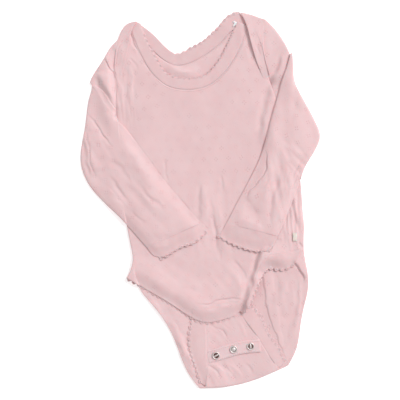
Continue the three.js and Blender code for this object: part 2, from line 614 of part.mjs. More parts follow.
// The strips of edging: where each is sewn on, its free edge and what it lies on.
const BANDS = {
  neck_band_back: {
    seam: chords(BACK_NECK, BACK_CELLS.across), edge: BACK_NECK_EDGE, bottom: onTable, scallopsFrom: 0.3,
  },
  neck_band_front: {
    seam: chords(FRONT_NECK, FRONT_CELLS.across), edge: FRONT_NECK_EDGE, bottom: frontBottom,
  },
  leg_band_front_left: {
    seam: line(beside(hemLeft, 8)), edge: hemLeft, bottom: trimBottom, picots: 2.6, gap: 0,
  },
  leg_band_front_right: {
    seam: chords(FRONT_HEM, FRONT_CELLS.across, LEG_BAND_START, 1), edge: LEG_BAND_EDGE, bottom: frontBottom,
  },
  leg_band_tab_left: { seam: chords(TAB_LEFT, TAB_CELLS), edge: TAB_LEFT_EDGE, bottom: tabBottom },
  leg_band_tab_right: { seam: chords(TAB_RIGHT, TAB_CELLS), edge: TAB_RIGHT_EDGE, bottom: tabBottom },
  leg_band_back_left: {
    seam: line(beside(legHemLeft, 1)), edge: beside(legHemLeft, BAND - 2), bottom: onTable, gap: 0,
  },
  leg_band_back_right: {
    seam: line(beside(legHemRight, -1)), edge: beside(legHemRight, 2 - BAND), bottom: onTable, gap: 0,
  },
};

// The shoulder flaps: their four edges, the free edge beside the neck and the armhole seam among them.
const FLAPS = {
  back_shoulder_left: {
    top: [at(-93.8, 184.6), at(-90, 194.5), at(-84, 202), at(-73, 204.5)],
    bottom: [at(-97.8, 141), at(-95.5, 139.5), at(-92.5, 139)],
    left: [at(-93.8, 184.6), at(-96.4, 171), at(-98, 154), at(-97.8, 141)],
    right: [at(-73, 204.5), at(-79.5, 193), at(-81, 181), at(-84, 168), at(-86.5, 154), at(-92.5, 139)],
  },
  back_shoulder_right: {
    top: [at(46.5, 215), at(57.5, 212.8), at(73.8, 206.8)],
    bottom: [at(72.5, 140.5), at(75.5, 141.5), at(78, 143)],
    left: [at(46.5, 215), at(53, 202.5), at(57.5, 184), at(64.5, 160), at(72.5, 140.5)],
    right: [at(73.8, 206.8), at(71.2, 194), at(71, 178), at(72.8, 163), at(78, 143)],
  },
};

const garment = new THREE.Group();
garment.add(
  backPanel(),
  frontPanel(),
  ...Object.entries(BANDS).map(([name, lines]) => band(name, lines)),
  ...Object.entries(FLAPS).map(([name, f]) => shoulderFlap(name, f.top, f.bottom, f.left, f.right)),
  tube("sleeve_left", pinkKnit, {
    table: SLEEVE_LEFT, rings: 22, low: sleeveLeftLow, folds: SLEEVE_LEFT_FOLDS,
    bend: armholeBend(ARM_SEAM_LEFT, SLEEVE_LEFT),
  }),
  tube("sleeve_right_head", pinkKnit, {
    table: SLEEVE_RIGHT_HEAD, rings: 5, low: headLow, bend: armholeBend(ARM_SEAM_RIGHT, SLEEVE_RIGHT_HEAD),
  }),
  tube("sleeve_right", pinkKnit, {
    table: SLEEVE_RIGHT, rings: 22, low: sleeveRightLow, folds: SLEEVE_RIGHT_FOLDS, closed: true,
  }),
  cuff("cuff_left", CUFF_LEFT, (x, y) => support(torsoOutline, x, y)),
  cuff("cuff_right", CUFF_RIGHT, (x, y) => support(rightSupport, x, y)),
  snapTape(),
  ...SNAPS.map((place, i) => snap(`snap_${i + 1}`, place)),
  sideLabel(),
);

export default garment;
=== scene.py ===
# A baby's long-sleeved bodysuit in pale pink pointelle cotton, laid flat with its sleeves folded in.
# Sizes in the tables are millimetres in the garment's own frame: +X to the right, +Y to the neck.
import math

import bpy
import numpy as np
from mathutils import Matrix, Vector
from mathutils import noise
from mathutils.bvhtree import BVHTree


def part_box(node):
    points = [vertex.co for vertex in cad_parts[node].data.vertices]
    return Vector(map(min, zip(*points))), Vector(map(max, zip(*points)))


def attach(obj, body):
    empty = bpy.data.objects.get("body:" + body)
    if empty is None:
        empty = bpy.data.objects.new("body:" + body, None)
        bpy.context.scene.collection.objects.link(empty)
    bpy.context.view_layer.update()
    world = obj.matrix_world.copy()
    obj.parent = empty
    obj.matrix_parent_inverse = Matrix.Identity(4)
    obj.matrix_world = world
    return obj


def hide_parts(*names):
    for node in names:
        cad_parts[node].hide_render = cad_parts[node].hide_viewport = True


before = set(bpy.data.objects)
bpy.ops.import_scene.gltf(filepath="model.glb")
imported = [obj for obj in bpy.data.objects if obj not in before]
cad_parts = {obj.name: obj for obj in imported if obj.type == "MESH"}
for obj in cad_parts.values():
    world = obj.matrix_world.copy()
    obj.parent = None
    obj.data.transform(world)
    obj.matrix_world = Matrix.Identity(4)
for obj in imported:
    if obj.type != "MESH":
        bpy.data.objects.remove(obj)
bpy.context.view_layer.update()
MM = 0.001

# Photographer's table, light and camera. The garment lies on a white light table in a pale room, under a
# big soft lamp far off at the upper right, and is seen from straight above.
bpy.ops.object.select_all(action="DESELECT")
bpy.ops.mesh.primitive_plane_add(size=8, location=(0, 0, -0.0004))
table_top = bpy.context.object
table_top.name = "table_top"
table_paint = bpy.data.materials.new("white_table")
table_paint.use_nodes = True
paint = table_paint.node_tree.nodes["Principled BSDF"].inputs
paint["Base Color"].default_value = (0.96, 0.96, 0.96, 1)
paint["Roughness"].default_value = 0.9
paint["Emission Color"].default_value = (1, 1, 1, 1)
paint["Emission Strength"].default_value = 0.4
table_top.data.materials.append(table_paint)

room = bpy.data.worlds.new("pale_room")
room.use_nodes = True
room.node_tree.nodes["Background"].inputs["Color"].default_value = (1, 0.99, 0.985, 1)
room.node_tree.nodes["Background"].inputs["Strength"].default_value = 0.545
bpy.context.scene.world = room
bpy.context.scene.view_settings.view_transform = "Standard"

bpy.ops.object.light_add(type="SUN", location=(1.5, 1.3, 2.0))
soft_lamp = bpy.context.object
soft_lamp.name = "soft_lamp"
soft_lamp.data.angle = math.radians(22)
soft_lamp.data.energy = 2.05
soft_lamp.rotation_euler = (-Vector(soft_lamp.location)).to_track_quat("-Z", "Y").to_euler()

VIEW_WIDTH = 460  # the photograph's width on the table
LENS, SENSOR = 85, 36
bpy.ops.object.camera_add(location=(0, 0, VIEW_WIDTH * MM * LENS / SENSOR), rotation=(0, 0, 0))
camera = bpy.context.object
camera.name = "overhead_camera"
camera.data.lens = LENS
camera.data.sensor_width = SENSOR
camera.data.clip_end = 50
bpy.context.scene.camera = camera

# Back panel. One piece of fine pointelle knit, face down on the table, whose crotch turns up and forward
# as the snap tab. Its inside shows in the neck and in the seat, where it lies in soft creases.
MERGE = 2e-5  # in metres: the solids' doubled points lie closer than this
CRISP = math.radians(42)  # a rim turns by more than this, a fold by less
SWELL = 0.2  # brings the pieces together, which lie a seam's width apart
UNDERSIDE = -SWELL  # no cloth lies lower than this


def alone(*pieces):
    """Selects these pieces and nothing else, the first of them as the active one."""
    bpy.ops.object.select_all(action="DESELECT")
    for piece in pieces:
        piece.select_set(True)
    bpy.context.view_layer.objects.active = pieces[0]


def cloth_from(node, levels, groove=0.28):
    """A soft copy of a solid: its triangles joined into quads, rounded off between crisp rims, the rims
    eased by the groove that a seam leaves, and all of it swollen a little so that it meets the pieces that
    it is sewn to."""
    piece = bpy.data.objects.new(node + "_cloth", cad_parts[node].data.copy())
    bpy.context.collection.objects.link(piece)
    piece.data.materials.clear()
    alone(piece)
    bpy.ops.object.mode_set(mode="EDIT")
    bpy.ops.mesh.select_mode(type="EDGE")
    bpy.ops.mesh.select_all(action="SELECT")
    bpy.ops.mesh.remove_doubles(threshold=MERGE)
    bpy.ops.mesh.customdata_custom_splitnormals_clear()
    bpy.ops.mesh.tris_convert_to_quads(face_threshold=math.radians(60), shape_threshold=math.radians(70))
    bpy.ops.mesh.select_all(action="DESELECT")
    bpy.ops.mesh.edges_select_sharp(sharpness=CRISP)
    bpy.ops.transform.edge_crease(value=1)
    bpy.ops.object.mode_set(mode="OBJECT")
    rounding = piece.modifiers.new("rounding", "SUBSURF")
    rounding.levels = rounding.render_levels = levels
    bpy.ops.object.modifier_apply(modifier=rounding.name)
    soften_rims(piece, groove)
    bpy.ops.object.mode_set(mode="EDIT")
    bpy.ops.mesh.select_all(action="SELECT")
    bpy.ops.transform.shrink_fatten(value=SWELL * MM)
    bpy.ops.mesh.select_all(action="DESELECT")
    bpy.ops.object.mode_set(mode="OBJECT")
    bpy.ops.object.shade_smooth()
    return piece


def places(piece):
    """The piece's points, in millimetres, as a table of x, y and z."""
    flat = np.empty(len(piece.data.vertices) * 3)
    piece.data.vertices.foreach_get("co", flat)
    return flat.reshape(-1, 3) / MM


def set_places(piece, points):
    """Puts the piece's points at these places, none of them lower than the table."""
    points[:, 2] = np.maximum(points[:, 2], UNDERSIDE)
    piece.data.vertices.foreach_set("co", (points * MM).ravel())
    piece.data.update()


def face_table(piece, what):
    """The faces' middles or normals, as a table of x, y and z."""
    flat = np.empty(len(piece.data.polygons) * 3)
    piece.data.polygons.foreach_get(what, flat)
    return flat.reshape(-1, 3)


def soften_rims(piece, drop):
    """Lowers the rim of the upper face and raises that of the lower face, which leaves a soft groove
    along a seam."""
    points = places(piece)
    up, down, side = (np.zeros(len(points), bool) for _ in range(3))
    for face, slope in zip(piece.data.polygons, face_table(piece, "normal")[:, 2]):
        kind = up if slope > 0.6 else down if slope < -0.6 else side
        kind[list(face.vertices)] = True
    points[:, 2] += drop * (down & side) - drop * (up & side)
    set_places(piece, points)


def ease(value, low, high):
    """Goes softly from 0 to 1 while the value goes from low to high."""
    t = np.clip((value - low) / (high - low), 0, 1)
    return t * t * (3 - 2 * t)


def walk(path, step):
    """Places at even steps along a smooth line through a path's points, and the heading at each."""
    ends = [2 * np.array(path[0]) - path[1], *map(np.array, path), 2 * np.array(path[-1]) - path[-2]]
    fine = []
    for a, b, c, d in zip(ends, ends[1:], ends[2:], ends[3:]):
        for t in np.linspace(0, 1, 12, endpoint=False):
            fine.append(b + 0.5 * t * (c - a + t * (2 * a - 5 * b + 4 * c - d + t * (3 * (b - c) + d - a))))
    fine = np.array([*fine, ends[-2]])
    length = np.concatenate([[0], np.cumsum(np.hypot(*np.diff(fine, axis=0).T))])
    stops = np.linspace(0, length[-1], max(2, round(length[-1] / step)) + 1)
    spots = np.column_stack([np.interp(stops, length, fine[:, k]) for k in (0, 1)])
    heading = np.gradient(spots, axis=0)
    return spots, heading / np.linalg.norm(heading, axis=1)[:, None]


def off_line(x, y, path):
    """Sideways distance of each point from a line, above 0 on its left, and the share of its length."""
    route = walk(path, 2)[0]
    best, off, share = np.full(len(x), 1e9), np.zeros(len(x)), np.zeros(len(x))
    for i, ((ax, ay), (bx, by)) in enumerate(zip(route, route[1:])):
        dx, dy = bx - ax, by - ay
        t = np.clip(((x - ax) * dx + (y - ay) * dy) / (dx * dx + dy * dy), 0, 1)
        ox, oy = x - ax - t * dx, y - ay - t * dy
        away = np.hypot(ox, oy)
        closer = away < best
        best = np.where(closer, away, best)
        off = np.where(closer, np.copysign(away, dx * oy - dy * ox), off)
        share = np.where(closer, (i + t) / (len(route) - 1), share)
    return off, share


def beside(points, line, width):
    """1 on a line and less and less beside it, over about the given width."""
    return np.exp(-((off_line(points[:, 0], points[:, 1], line)[0] / width) ** 2))


def wander(x, y, size, far, seed):
    """A smooth random value at each point, up to about far, which changes over a length of size."""
    return np.array([far * noise.noise(Vector((a / size, b / size, seed))) for a, b in zip(x, y)])


def fold_height(x, y, folds):
    """Height that a table of folds gives at each point. A row has the kind of fold, its height, its half
    width and its line, from which the fold strays a little. A drop or a lap stands high on the left of its
    line; a lap hangs over a gap."""
    height = np.zeros(len(x))
    if not folds:
        return height
    strength = 1 + wander(x, y, 12, 0.7, 5.3)
    x, y = x + wander(x, y, 10, 2.0, 3.7), y + wander(x, y, 10, 2.0, 8.1)
    for kind, rise, half, path in folds:
        xs, ys = [p[0] for p in path], [p[1] for p in path]
        reach = 9 * half + 3
        near = (x > min(xs) - reach) & (x < max(xs) + reach) & (y > min(ys) - reach) & (y < max(ys) + reach)
        if not near.any():
            continue
        off, share = off_line(x[near], y[near], path)
        r = off / half
        slanted = r * np.where(r > 0, 1.25, 0.75)
        fade = ease(share, 0, 0.35) * (1 - ease(share, 0.65, 1)) * strength[near]
        if kind == "trough":
            profile = 0.25 * np.exp(-((r / 3) ** 2)) - np.exp(-(slanted**2))
        elif kind == "ridge":
            profile = np.exp(-(slanted**2))
        elif kind == "drop":
            profile = (0.5 + 0.5 * np.tanh(2.2 * r)) * np.exp(-((np.maximum(r, 0) / 6) ** 2))
            profile -= 0.3 * np.exp(-(((r + 0.6) / 0.7) ** 2))
            fade = ease(share, 0, 0.25) * (1 - ease(share, 0.8, 1))
        else:
            profile = (0.5 + 0.5 * np.tanh(4 * r)) * np.exp(-((np.maximum(r, 0) / 8) ** 2))
            profile -= 0.5 * np.exp(-(((r + 0.5) / 0.5) ** 2))
            fade = ease(share, 0, 0.2) * (1 - ease(share, 0.85, 1))
        height[near] += rise * fade * profile
    return height


def gathers(x, y, patches):
    """Height that patches of fine gathers give at each point. A row has the middle of a patch, its half
    length, its half width, the heading of its streaks in degrees, their spacing and their height."""
    height = np.zeros(len(x))
    for cx, cy, half_length, half_width, heading, spacing, rise in patches:
        c, s = math.cos(math.radians(heading)), math.sin(math.radians(heading))
        along, across = (x - cx) * c + (y - cy) * s, (y - cy) * c - (x - cx) * s
        fade = np.exp(-((along / half_length) ** 4) - (across / half_width) ** 4)
        near = fade > 0.01
        height[near] += rise * fade[near] * wander(across[near], along[near] / 5, spacing, 1, cx)
    return height


def patch_lines(patches):
    """The middle lines of patches of gathers, as rows that refine can read."""
    rows = []
    for cx, cy, half_length, half_width, heading, spacing, rise in patches:
        c, s = half_length * math.cos(math.radians(heading)), half_length * math.sin(math.radians(heading))
        rows.append(("patch", rise, half_width / 3, [(cx - c, cy - s), (cx, cy), (cx + c, cy + s)]))
    return rows


def pressed(points, under, share):
    """Presses points towards the cloth under them, by the given share of their height over it."""
    for i in np.flatnonzero(share > 0.01):
        x, y, z = points[i]
        low = under(x, y)
        if low is not None:
            points[i, 2] = low + (z - low) * (1 - share[i])


def drawn_over(points, line, shift, reach=4):
    """Draws a sewn edge sideways, onto the piece that it is sewn to."""
    points[:, 0] += shift * beside(points, line, reach)


def level_with(points, line, neighbour, aside, wall, reach=6):
    """Brings a sewn edge to the height that its neighbour has beside the seam. aside is the sideways step
    from the seam to the neighbour, wall the share of each point that moves."""
    stops = walk(line, 3)[0]
    step_up = np.zeros(len(stops))
    for i, (x, y) in enumerate(stops):
        own = points[np.hypot(points[:, 0] - x, points[:, 1] - y) < 2.5]
        other = neighbour(x + aside, y)
        if len(own) and other is not None:
            step_up[i] = other - own[:, 2].max()
    off, share = off_line(points[:, 0], points[:, 1], line)
    rise = np.interp(share, np.linspace(0, 1, len(stops)), step_up)
    points[:, 2] += wall * rise * np.exp(-((off / reach) ** 2))


def refine(piece, folds, reach):
    """Splits the upper faces that lie near a fold, so that the fold can bend them. reach is in half widths
    of the fold."""
    middle = face_table(piece, "center") / MM
    near = np.zeros(len(middle), bool)
    for _, _, half, path in folds:
        near |= np.abs(off_line(middle[:, 0], middle[:, 1], path)[0]) < reach * half
    near &= face_table(piece, "normal")[:, 2] > 0.3
    alone(piece)
    bpy.ops.object.mode_set(mode="EDIT")
    bpy.ops.mesh.select_mode(type="FACE")
    bpy.ops.mesh.select_all(action="DESELECT")
    bpy.ops.object.mode_set(mode="OBJECT")
    piece.data.polygons.foreach_set("select", near)
    bpy.ops.object.mode_set(mode="EDIT")
    bpy.ops.mesh.subdivide(number_cuts=1)
    bpy.ops.mesh.select_all(action="DESELECT")
    bpy.ops.object.mode_set(mode="OBJECT")


def unevenness(points, size, height, seed):
    """Low soft waves, as no cloth lies quite smooth."""
    shift = Vector((seed * 13.1, seed * 7.7, seed * 3.3))
    return np.array([height * noise.noise(Vector((x / size, y / size, 0)) + shift) for x, y, _ in points])


def inside_depth(x, y, outline):
    """How far each point lies inside a closed outline, below 0 outside."""
    inside = np.zeros(len(x), bool)
    nearest = np.full(len(x), 1e9)
    for (ax, ay), (bx, by) in zip(outline, outline[1:] + outline[:1]):
        crosses = (ay > y) != (by > y)
        if by != ay:
            inside ^= crosses & (x < (bx - ax) * (y - ay) / (by - ay) + ax)
        dx, dy = bx - ax, by - ay
        t = np.clip(((x - ax) * dx + (y - ay) * dy) / (dx * dx + dy * dy), 0, 1)
        nearest = np.minimum(nearest, np.hypot(x - ax - t * dx, y - ay - t * dy))
    return np.where(inside, nearest, -nearest)


def node_finish(name):
    """A new material with its nodes, its links, its shader and the place on the piece."""
    finish = bpy.data.materials.new(name)
    finish.use_nodes = True
    nodes, links = finish.node_tree.nodes, finish.node_tree.links
    return finish, nodes, links, nodes["Principled BSDF"], nodes.new("ShaderNodeTexCoord").outputs["Object"]


def clouded(nodes, links, place, scale, detail=2.0):
    """Soft noise over a piece, at this scale."""
    cloud = nodes.new("ShaderNodeTexNoise")
    cloud.inputs["Scale"].default_value = scale
    cloud.inputs["Detail"].default_value = detail
    links.new(place, cloud.inputs["Vector"])
    return cloud


def toned(nodes, links, cloud, dark, light, start=0.0, end=1.0):
    """A colour that goes from dark to light where the noise goes from start to end."""
    shade = nodes.new("ShaderNodeValToRGB")
    for element, spot, colour in zip(shade.color_ramp.elements, (start, end), (dark, light)):
        element.position = spot
        element.color = (*colour, 1)
    links.new(cloud.outputs["Fac"], shade.inputs["Fac"])
    return shade.outputs["Color"]


def darker(colour, *shares):
    """A colour with each of its parts lowered to a share."""
    return tuple(part * share for part, share in zip(colour, shares))


def soft_cotton(name, turn):
    """The finish that all the cotton starts from, and a grain in millimetres, turned to its run."""
    finish, nodes, links, shader, place = node_finish(name)
    for socket, value in (
        ("Roughness", 0.95), ("Specular IOR Level", 0.15), ("Sheen Weight", 0.12), ("Sheen Roughness", 0.6),
        ("Subsurface Weight", 0.3), ("Subsurface Radius", (1, 0.35, 0.3)), ("Subsurface Scale", 0.0007),
    ):
        shader.inputs[socket].default_value = value
    grain = nodes.new("ShaderNodeMapping")
    grain.vector_type = "TEXTURE"
    grain.inputs["Rotation"].default_value = (0, 0, math.radians(turn))
    grain.inputs["Scale"].default_value = (MM, MM, MM)
    links.new(place, grain.inputs["Vector"])
    return finish, nodes, links, shader, grain.outputs["Vector"]


def embossed(nodes, links, shader, height, strength, depth):
    """Lets a pattern's height show on a finish as relief."""
    bump = nodes.new("ShaderNodeBump")
    bump.inputs["Strength"].default_value = strength
    bump.inputs["Distance"].default_value = depth
    links.new(height, bump.inputs["Height"])
    links.new(bump.outputs["Normal"], shader.inputs["Normal"])


MOTIF_ACROSS, MOTIF_ALONG, MOTIF_REACH = 14.4, 26.0, 1.7  # the diamonds' pitch and half their width
WALE, COURSE = 1.0, 0.85  # pitch of the jersey's columns and rows


def pointelle(name, colour, turn):
    """Fine jersey with rows of small diamonds, each of four eyelets, turned to the run of the cloth."""
    finish, nodes, links, shader, grain = soft_cotton(name, turn)

    def maths(operation, *values):
        node = nodes.new("ShaderNodeMath")
        node.operation = operation
        for socket, value in zip(node.inputs, values):
            if isinstance(value, (int, float)):
                socket.default_value = value
            else:
                links.new(value, socket)
        return node.outputs[0]

    # the cloth is stretched and skewed a little from place to place
    pull = clouded(nodes, links, grain, 0.02, 1.0)
    skew = nodes.new("ShaderNodeVectorMath")
    skew.operation = "MULTIPLY_ADD"
    skew.inputs[1].default_value = (14, 14, 0)
    links.new(pull.outputs["Color"], skew.inputs[0])
    links.new(grain, skew.inputs[2])
    split = nodes.new("ShaderNodeSeparateXYZ")
    links.new(skew.outputs["Vector"], split.inputs["Vector"])
    across, along = split.outputs["X"], split.outputs["Y"]

    nearest = None
    for offset in (0.0, 0.5):
        a, b = (
            maths("ABSOLUTE", maths("MULTIPLY", maths("SUBTRACT", maths("FRACT", maths(
                "ADD", maths("DIVIDE", way, pitch), offset)), 0.5), pitch))
            for way, pitch in ((across, MOTIF_ACROSS), (along, MOTIF_ALONG))
        )
        side = maths("ADD", maths("POWER", maths("SUBTRACT", a, MOTIF_REACH), 2), maths("POWER", b, 2))
        end = maths("ADD", maths("POWER", a, 2), maths("POWER", maths("SUBTRACT", b, MOTIF_REACH), 2))
        eyelet = maths("SQRT", maths("MINIMUM", side, end))
        nearest = eyelet if nearest is None else maths("MINIMUM", nearest, eyelet)
    hole = nodes.new("ShaderNodeMapRange")
    hole.interpolation_type = "SMOOTHSTEP"
    hole.inputs["From Min"].default_value = 0.75
    hole.inputs["From Max"].default_value = 0.35
    links.new(nearest, hole.inputs["Value"])

    # wales and courses of the jersey
    wale = maths("SINE", maths("MULTIPLY", across, 2 * math.pi / WALE))
    shifted = maths("ADD", along, maths("MULTIPLY", maths("ABSOLUTE", wale), 0.25))
    course = maths("SINE", maths("MULTIPLY", shifted, 2 * math.pi / COURSE))
    stitch = maths("ADD", maths("MULTIPLY", wale, 0.06), maths("MULTIPLY", course, 0.03))

    cloud = clouded(nodes, links, grain, 0.07, 5.0)
    shade = toned(nodes, links, cloud, darker(colour, 0.975, 0.945, 0.95), colour, 0.32, 0.68)
    # the eyelets are painted darker, as painted shade in their holes, and show here and there, where the
    # cloth is drawn open
    open_knit = nodes.new("ShaderNodeMapRange")
    for socket, value in (("From Min", 0.4), ("From Max", 0.62), ("To Min", 0.1), ("To Max", 0.55)):
        open_knit.inputs[socket].default_value = value
    links.new(pull.outputs["Fac"], open_knit.inputs["Value"])
    painted_hole_shade = nodes.new("ShaderNodeMix")
    painted_hole_shade.data_type = "RGBA"
    links.new(maths("MULTIPLY", hole.outputs["Result"], open_knit.outputs["Result"]), painted_hole_shade.inputs["Factor"])
    links.new(shade, painted_hole_shade.inputs["A"])
    painted_hole_shade.inputs["B"].default_value = (*darker(colour, 0.72, 0.5, 0.52), 1)
    links.new(painted_hole_shade.outputs["Result"], shader.inputs["Base Color"])

    relief = maths("SUBTRACT", stitch, maths("MULTIPLY", hole.outputs["Result"], 0.5))
    embossed(nodes, links, shader, relief, 0.6, 0.0005)
    return finish


def dressed(piece, finish, node, slot, flat, held, area=None, **more):
    """Gives a piece its finish, hides the solid that it stands for and hangs the piece from the root."""
    piece.data.materials.append(finish)
    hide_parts(node)
    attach(piece, "root")


PINK = (0.82, 0.6, 0.61)
body_knit = pointelle("pointelle_body", PINK, 3)

# kind, height, half width, line
SEAT_FOLDS = [
    ("drop", 0.7, 1.2,
     [(71, -71), (72, -87), (74, -105), (77, -124), (83, -145), (91, -164), (99, -182), (102, -191)]),
    ("ridge", 1.7, 3.4, [(-28, -147), (-18, -168), (-10, -186), (-1, -209)]),
    ("drop", 2.0, 1.6, [(103, -68), (110, -74), (116, -82), (120, -93)]),
    ("ridge", 1.0, 4.5, [(100, -83), (97, -103), (87, -122)]),
    ("trough", 0.6, 3.5, [(91, -83), (87, -101), (80, -115)]),
    ("trough", 0.5, 3.0, [(110, -86), (112, -115), (102, -150)]),
    ("ridge", 0.9, 3.0, [(114, -88), (114, -121), (107, -158)]),
    ("trough", 0.5, 3.5, [(101, -129), (98, -155), (97, -175)]),
    ("ridge", 0.8, 4.0, [(-62, -106), (-46, -129), (-32, -150)]),
    ("ridge", 0.8, 3.5, [(-32, -136), (-22, -167), (-12, -195)]),
    ("trough", 0.4, 2.5, [(-40, -133), (-29, -159), (-18, -186)]),
]
TAB_FOLDS = [
    ("trough", 0.5, 1.3, [(8, -140), (18, -147), (27, -152), (33, -160)]),
    ("ridge", 0.4, 2.4, [(15, -140), (25, -145), (36, -154)]),
    ("trough", 0.5, 1.2, [(6, -188), (14, -192), (20, -197), (26, -206)]),
    ("ridge", 0.5, 2.0, [(10, -186), (20, -191), (29, -200)]),
    ("trough", 0.6, 1.6, [(23, -188), (31, -194), (38, -201), (43, -209)]),
    ("ridge", 0.5, 2.4, [(30, -186), (41, -194), (49, -205)]),
    ("trough", 0.4, 2.0, [(49, -186), (57, -193), (63, -201)]),
    ("ridge", 0.4, 2.4, [(43, -136), (49, -148), (53, -159)]),
]
NECK_INSIDE_FOLDS = [
    ("ridge", 1.5, 4.5, [(-41, 163), (-30, 150), (-14, 146), (4, 150)]),
    ("trough", 0.9, 2.0, [(-50, 160), (-42, 148), (-32, 141)]),
]
TAB_GATHERS = [(22, -199, 12, 26, 118, 5.0, 0.35), (24, -150, 12, 20, -40, 6.0, 0.3)]
SEAT_GATHERS = [(96, -118, 34, 18, 100, 8.0, 0.8), (-40, -140, 40, 14, -58, 8.0, 0.6)]
TAB_LEFT_SEAM = [(0, -214), (8, -189), (8, -167), (7, -141), (6, -120)]
TAB_RIGHT_SEAM = [(40, -114), (48, -131), (67, -157), (76, -172), (92, -194)]
TAB_OUTLINE = [*TAB_LEFT_SEAM, *TAB_RIGHT_SEAM, (66, -206), (47, -212), (25, -216)]
back_panel = cloth_from("back_panel", 2, groove=0.08)
back_lines = SEAT_FOLDS + TAB_FOLDS + NECK_INSIDE_FOLDS + patch_lines(TAB_GATHERS + SEAT_GATHERS)
refine(back_panel, back_lines, 5)
refine(back_panel, SEAT_FOLDS + TAB_FOLDS, 2.5)
points = places(back_panel)
x, y, z = points.T
on_tab = (z > 1.9) & (inside_depth(x, y, TAB_OUTLINE) > -0.6)  # above the seat, within the outline
seat = fold_height(x, y, SEAT_FOLDS + NECK_INSIDE_FOLDS) + gathers(x, y, SEAT_GATHERS)
tab = fold_height(x, y, TAB_FOLDS) + gathers(x, y, TAB_GATHERS)
waves = unevenness(points, 24, 0.8, 4)
upper = ease(z, 0.6, 1.2)
points[:, 2] += np.where(on_tab, np.maximum(tab + 0.5 * waves, -0.6), upper * np.maximum(seat + waves, -0.15))
set_places(back_panel, points)
dressed(back_panel, body_knit, "back_panel", "pointelle_knit", (0.221, 0.50), "folded", area=0.0748)

# Ribbed edging. A narrow strip of fine rib knit, sewn on along the neck and leg openings, whose outer edge
# is drawn up into small scallops.


def rib(name, colour, turn):
    """Fine rib knit: narrow ridges across the strip and a slight unevenness of colour."""
    finish, nodes, links, shader, grain = soft_cotton(name, turn)
    ridges = nodes.new("ShaderNodeTexWave")
    for socket, value in (("Scale", 0.25), ("Distortion", 0.6), ("Detail", 1)):
        ridges.inputs[socket].default_value = value
    links.new(grain, ridges.inputs["Vector"])
    cloud = clouded(nodes, links, grain, 0.12)
    shade = toned(nodes, links, cloud, darker(colour, 0.97, 0.94, 0.95), colour, 0.3, 0.7)
    links.new(shade, shader.inputs["Base Color"])
    embossed(nodes, links, shader, ridges.outputs["Fac"], 0.35, 0.0004)
    return finish


rib_knit = rib("rib_edging", (0.812, 0.59, 0.598), 0)
loop_yarn = rib("scallop_yarn", (0.84, 0.61, 0.62), 30)
eyelet_shade, nodes, links, shader, place = node_finish("eyelet_shade")
shader.inputs["Roughness"].default_value = 1
speck = clouded(nodes, links, place, 900)
links.new(toned(nodes, links, speck, (0.52, 0.27, 0.28), (0.64, 0.37, 0.38)), shader.inputs["Base Color"])


CLEAR = 0.05  # in metres: well above the garment


def top_of(*pieces):
    """A function that gives the height, in millimetres, of the uppermost of these pieces at a place."""
    corners, faces = [], []
    for piece in pieces:
        start = len(corners)
        corners += [v.co.copy() for v in piece.data.vertices]
        faces += [[start + k for k in face.vertices] for face in piece.data.polygons]
    tree = BVHTree.FromPolygons(corners, faces)

    def height(x, y):
        hit = tree.ray_cast(Vector((x * MM, y * MM, CLEAR)), Vector((0, 0, -1)))[0]
        return None if hit is None else hit.z / MM

    return height


def joined(copies, name, finishes):
    """Makes one piece of yarn or thread of many copies and puts its place into its mesh."""
    alone(*copies)
    bpy.ops.object.join()
    bpy.ops.object.transform_apply(location=True, rotation=True, scale=True)
    piece = bpy.context.object
    piece.name = name
    piece.data.materials.clear()
    for finish in finishes:
        piece.data.materials.append(finish)
    bpy.ops.object.shade_smooth()
    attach(piece, "root")
    return piece


bpy.ops.object.select_all(action="DESELECT")
LOOP_RADIUS, YARN_RADIUS, EYELET_RADIUS, EYELET_DEPTH = 1.35, 0.62, 0.72, 0.3
SCALLOP_PITCH = 6.5
LOOP_OUT, LOOP_DOWN = 0.5, 0.1  # how far a loop stands out from the edge, and how deep it sinks in
bpy.ops.mesh.primitive_torus_add(major_segments=10, minor_segments=4, major_radius=LOOP_RADIUS * MM,
                                 minor_radius=YARN_RADIUS * MM)
scallop_loop = bpy.context.object
scallop_loop.data.materials.append(loop_yarn)
bpy.ops.mesh.primitive_cylinder_add(vertices=8, radius=EYELET_RADIUS * MM, depth=EYELET_DEPTH * MM)
eyelet = bpy.context.object
eyelet.data.materials.append(eyelet_shade)
alone(scallop_loop, eyelet)
bpy.ops.object.join()


def scallops(name, edge, side, carrier, first=0.0, last=1.0, size=1.0):
    """Loops of yarn round small eyelets, one to a scallop, from the first to the last share of an edge.
    side is 1 where the free edge is on the left of the line."""
    spots, heading = walk(edge, SCALLOP_PITCH / 2)
    height = top_of(carrier)
    copies = []
    for i in range(1, len(spots), 2):
        if not first <= i / (len(spots) - 1) <= last:
            continue
        out = np.array([-heading[i][1], heading[i][0]]) * side
        x, y = spots[i] + LOOP_OUT * out
        under = height(*(spots[i] - out))
        if under is None:
            continue
        loop = bpy.data.objects.new(name, scallop_loop.data.copy())
        bpy.context.collection.objects.link(loop)
        loop.location = (x * MM, y * MM, (under - LOOP_DOWN) * MM)
        loop.rotation_euler = (0, 0, math.atan2(out[1], out[0]) - math.pi / 2)
        loop.scale = (1.25 * size, (0.95 + 0.12 * math.sin(7 * i)) * size, 0.8 * size)
        copies.append(loop)
    return joined(copies, name, [loop_yarn, eyelet_shade])


def edging(node, folds=(), groove=0.28, edge=None, seam=None, over=(0, 0)):
    """A strip of edging on its solid's form, with the folds of the cloth that it is sewn to. Its free edge
    lies down on the back, and its seam is drawn over onto the cloth."""
    strip = cloth_from(node, 2, groove)
    spots = places(strip)
    spots[:, 2] += np.maximum(fold_height(spots[:, 0], spots[:, 1], folds), -0.4)
    if edge:
        pressed(spots, back_top, 0.6 * beside(spots, edge, 7))
    if seam:
        spots += beside(spots, seam, 3)[:, None] * np.array([*over, 0.02])
    set_places(strip, spots)
    return strip


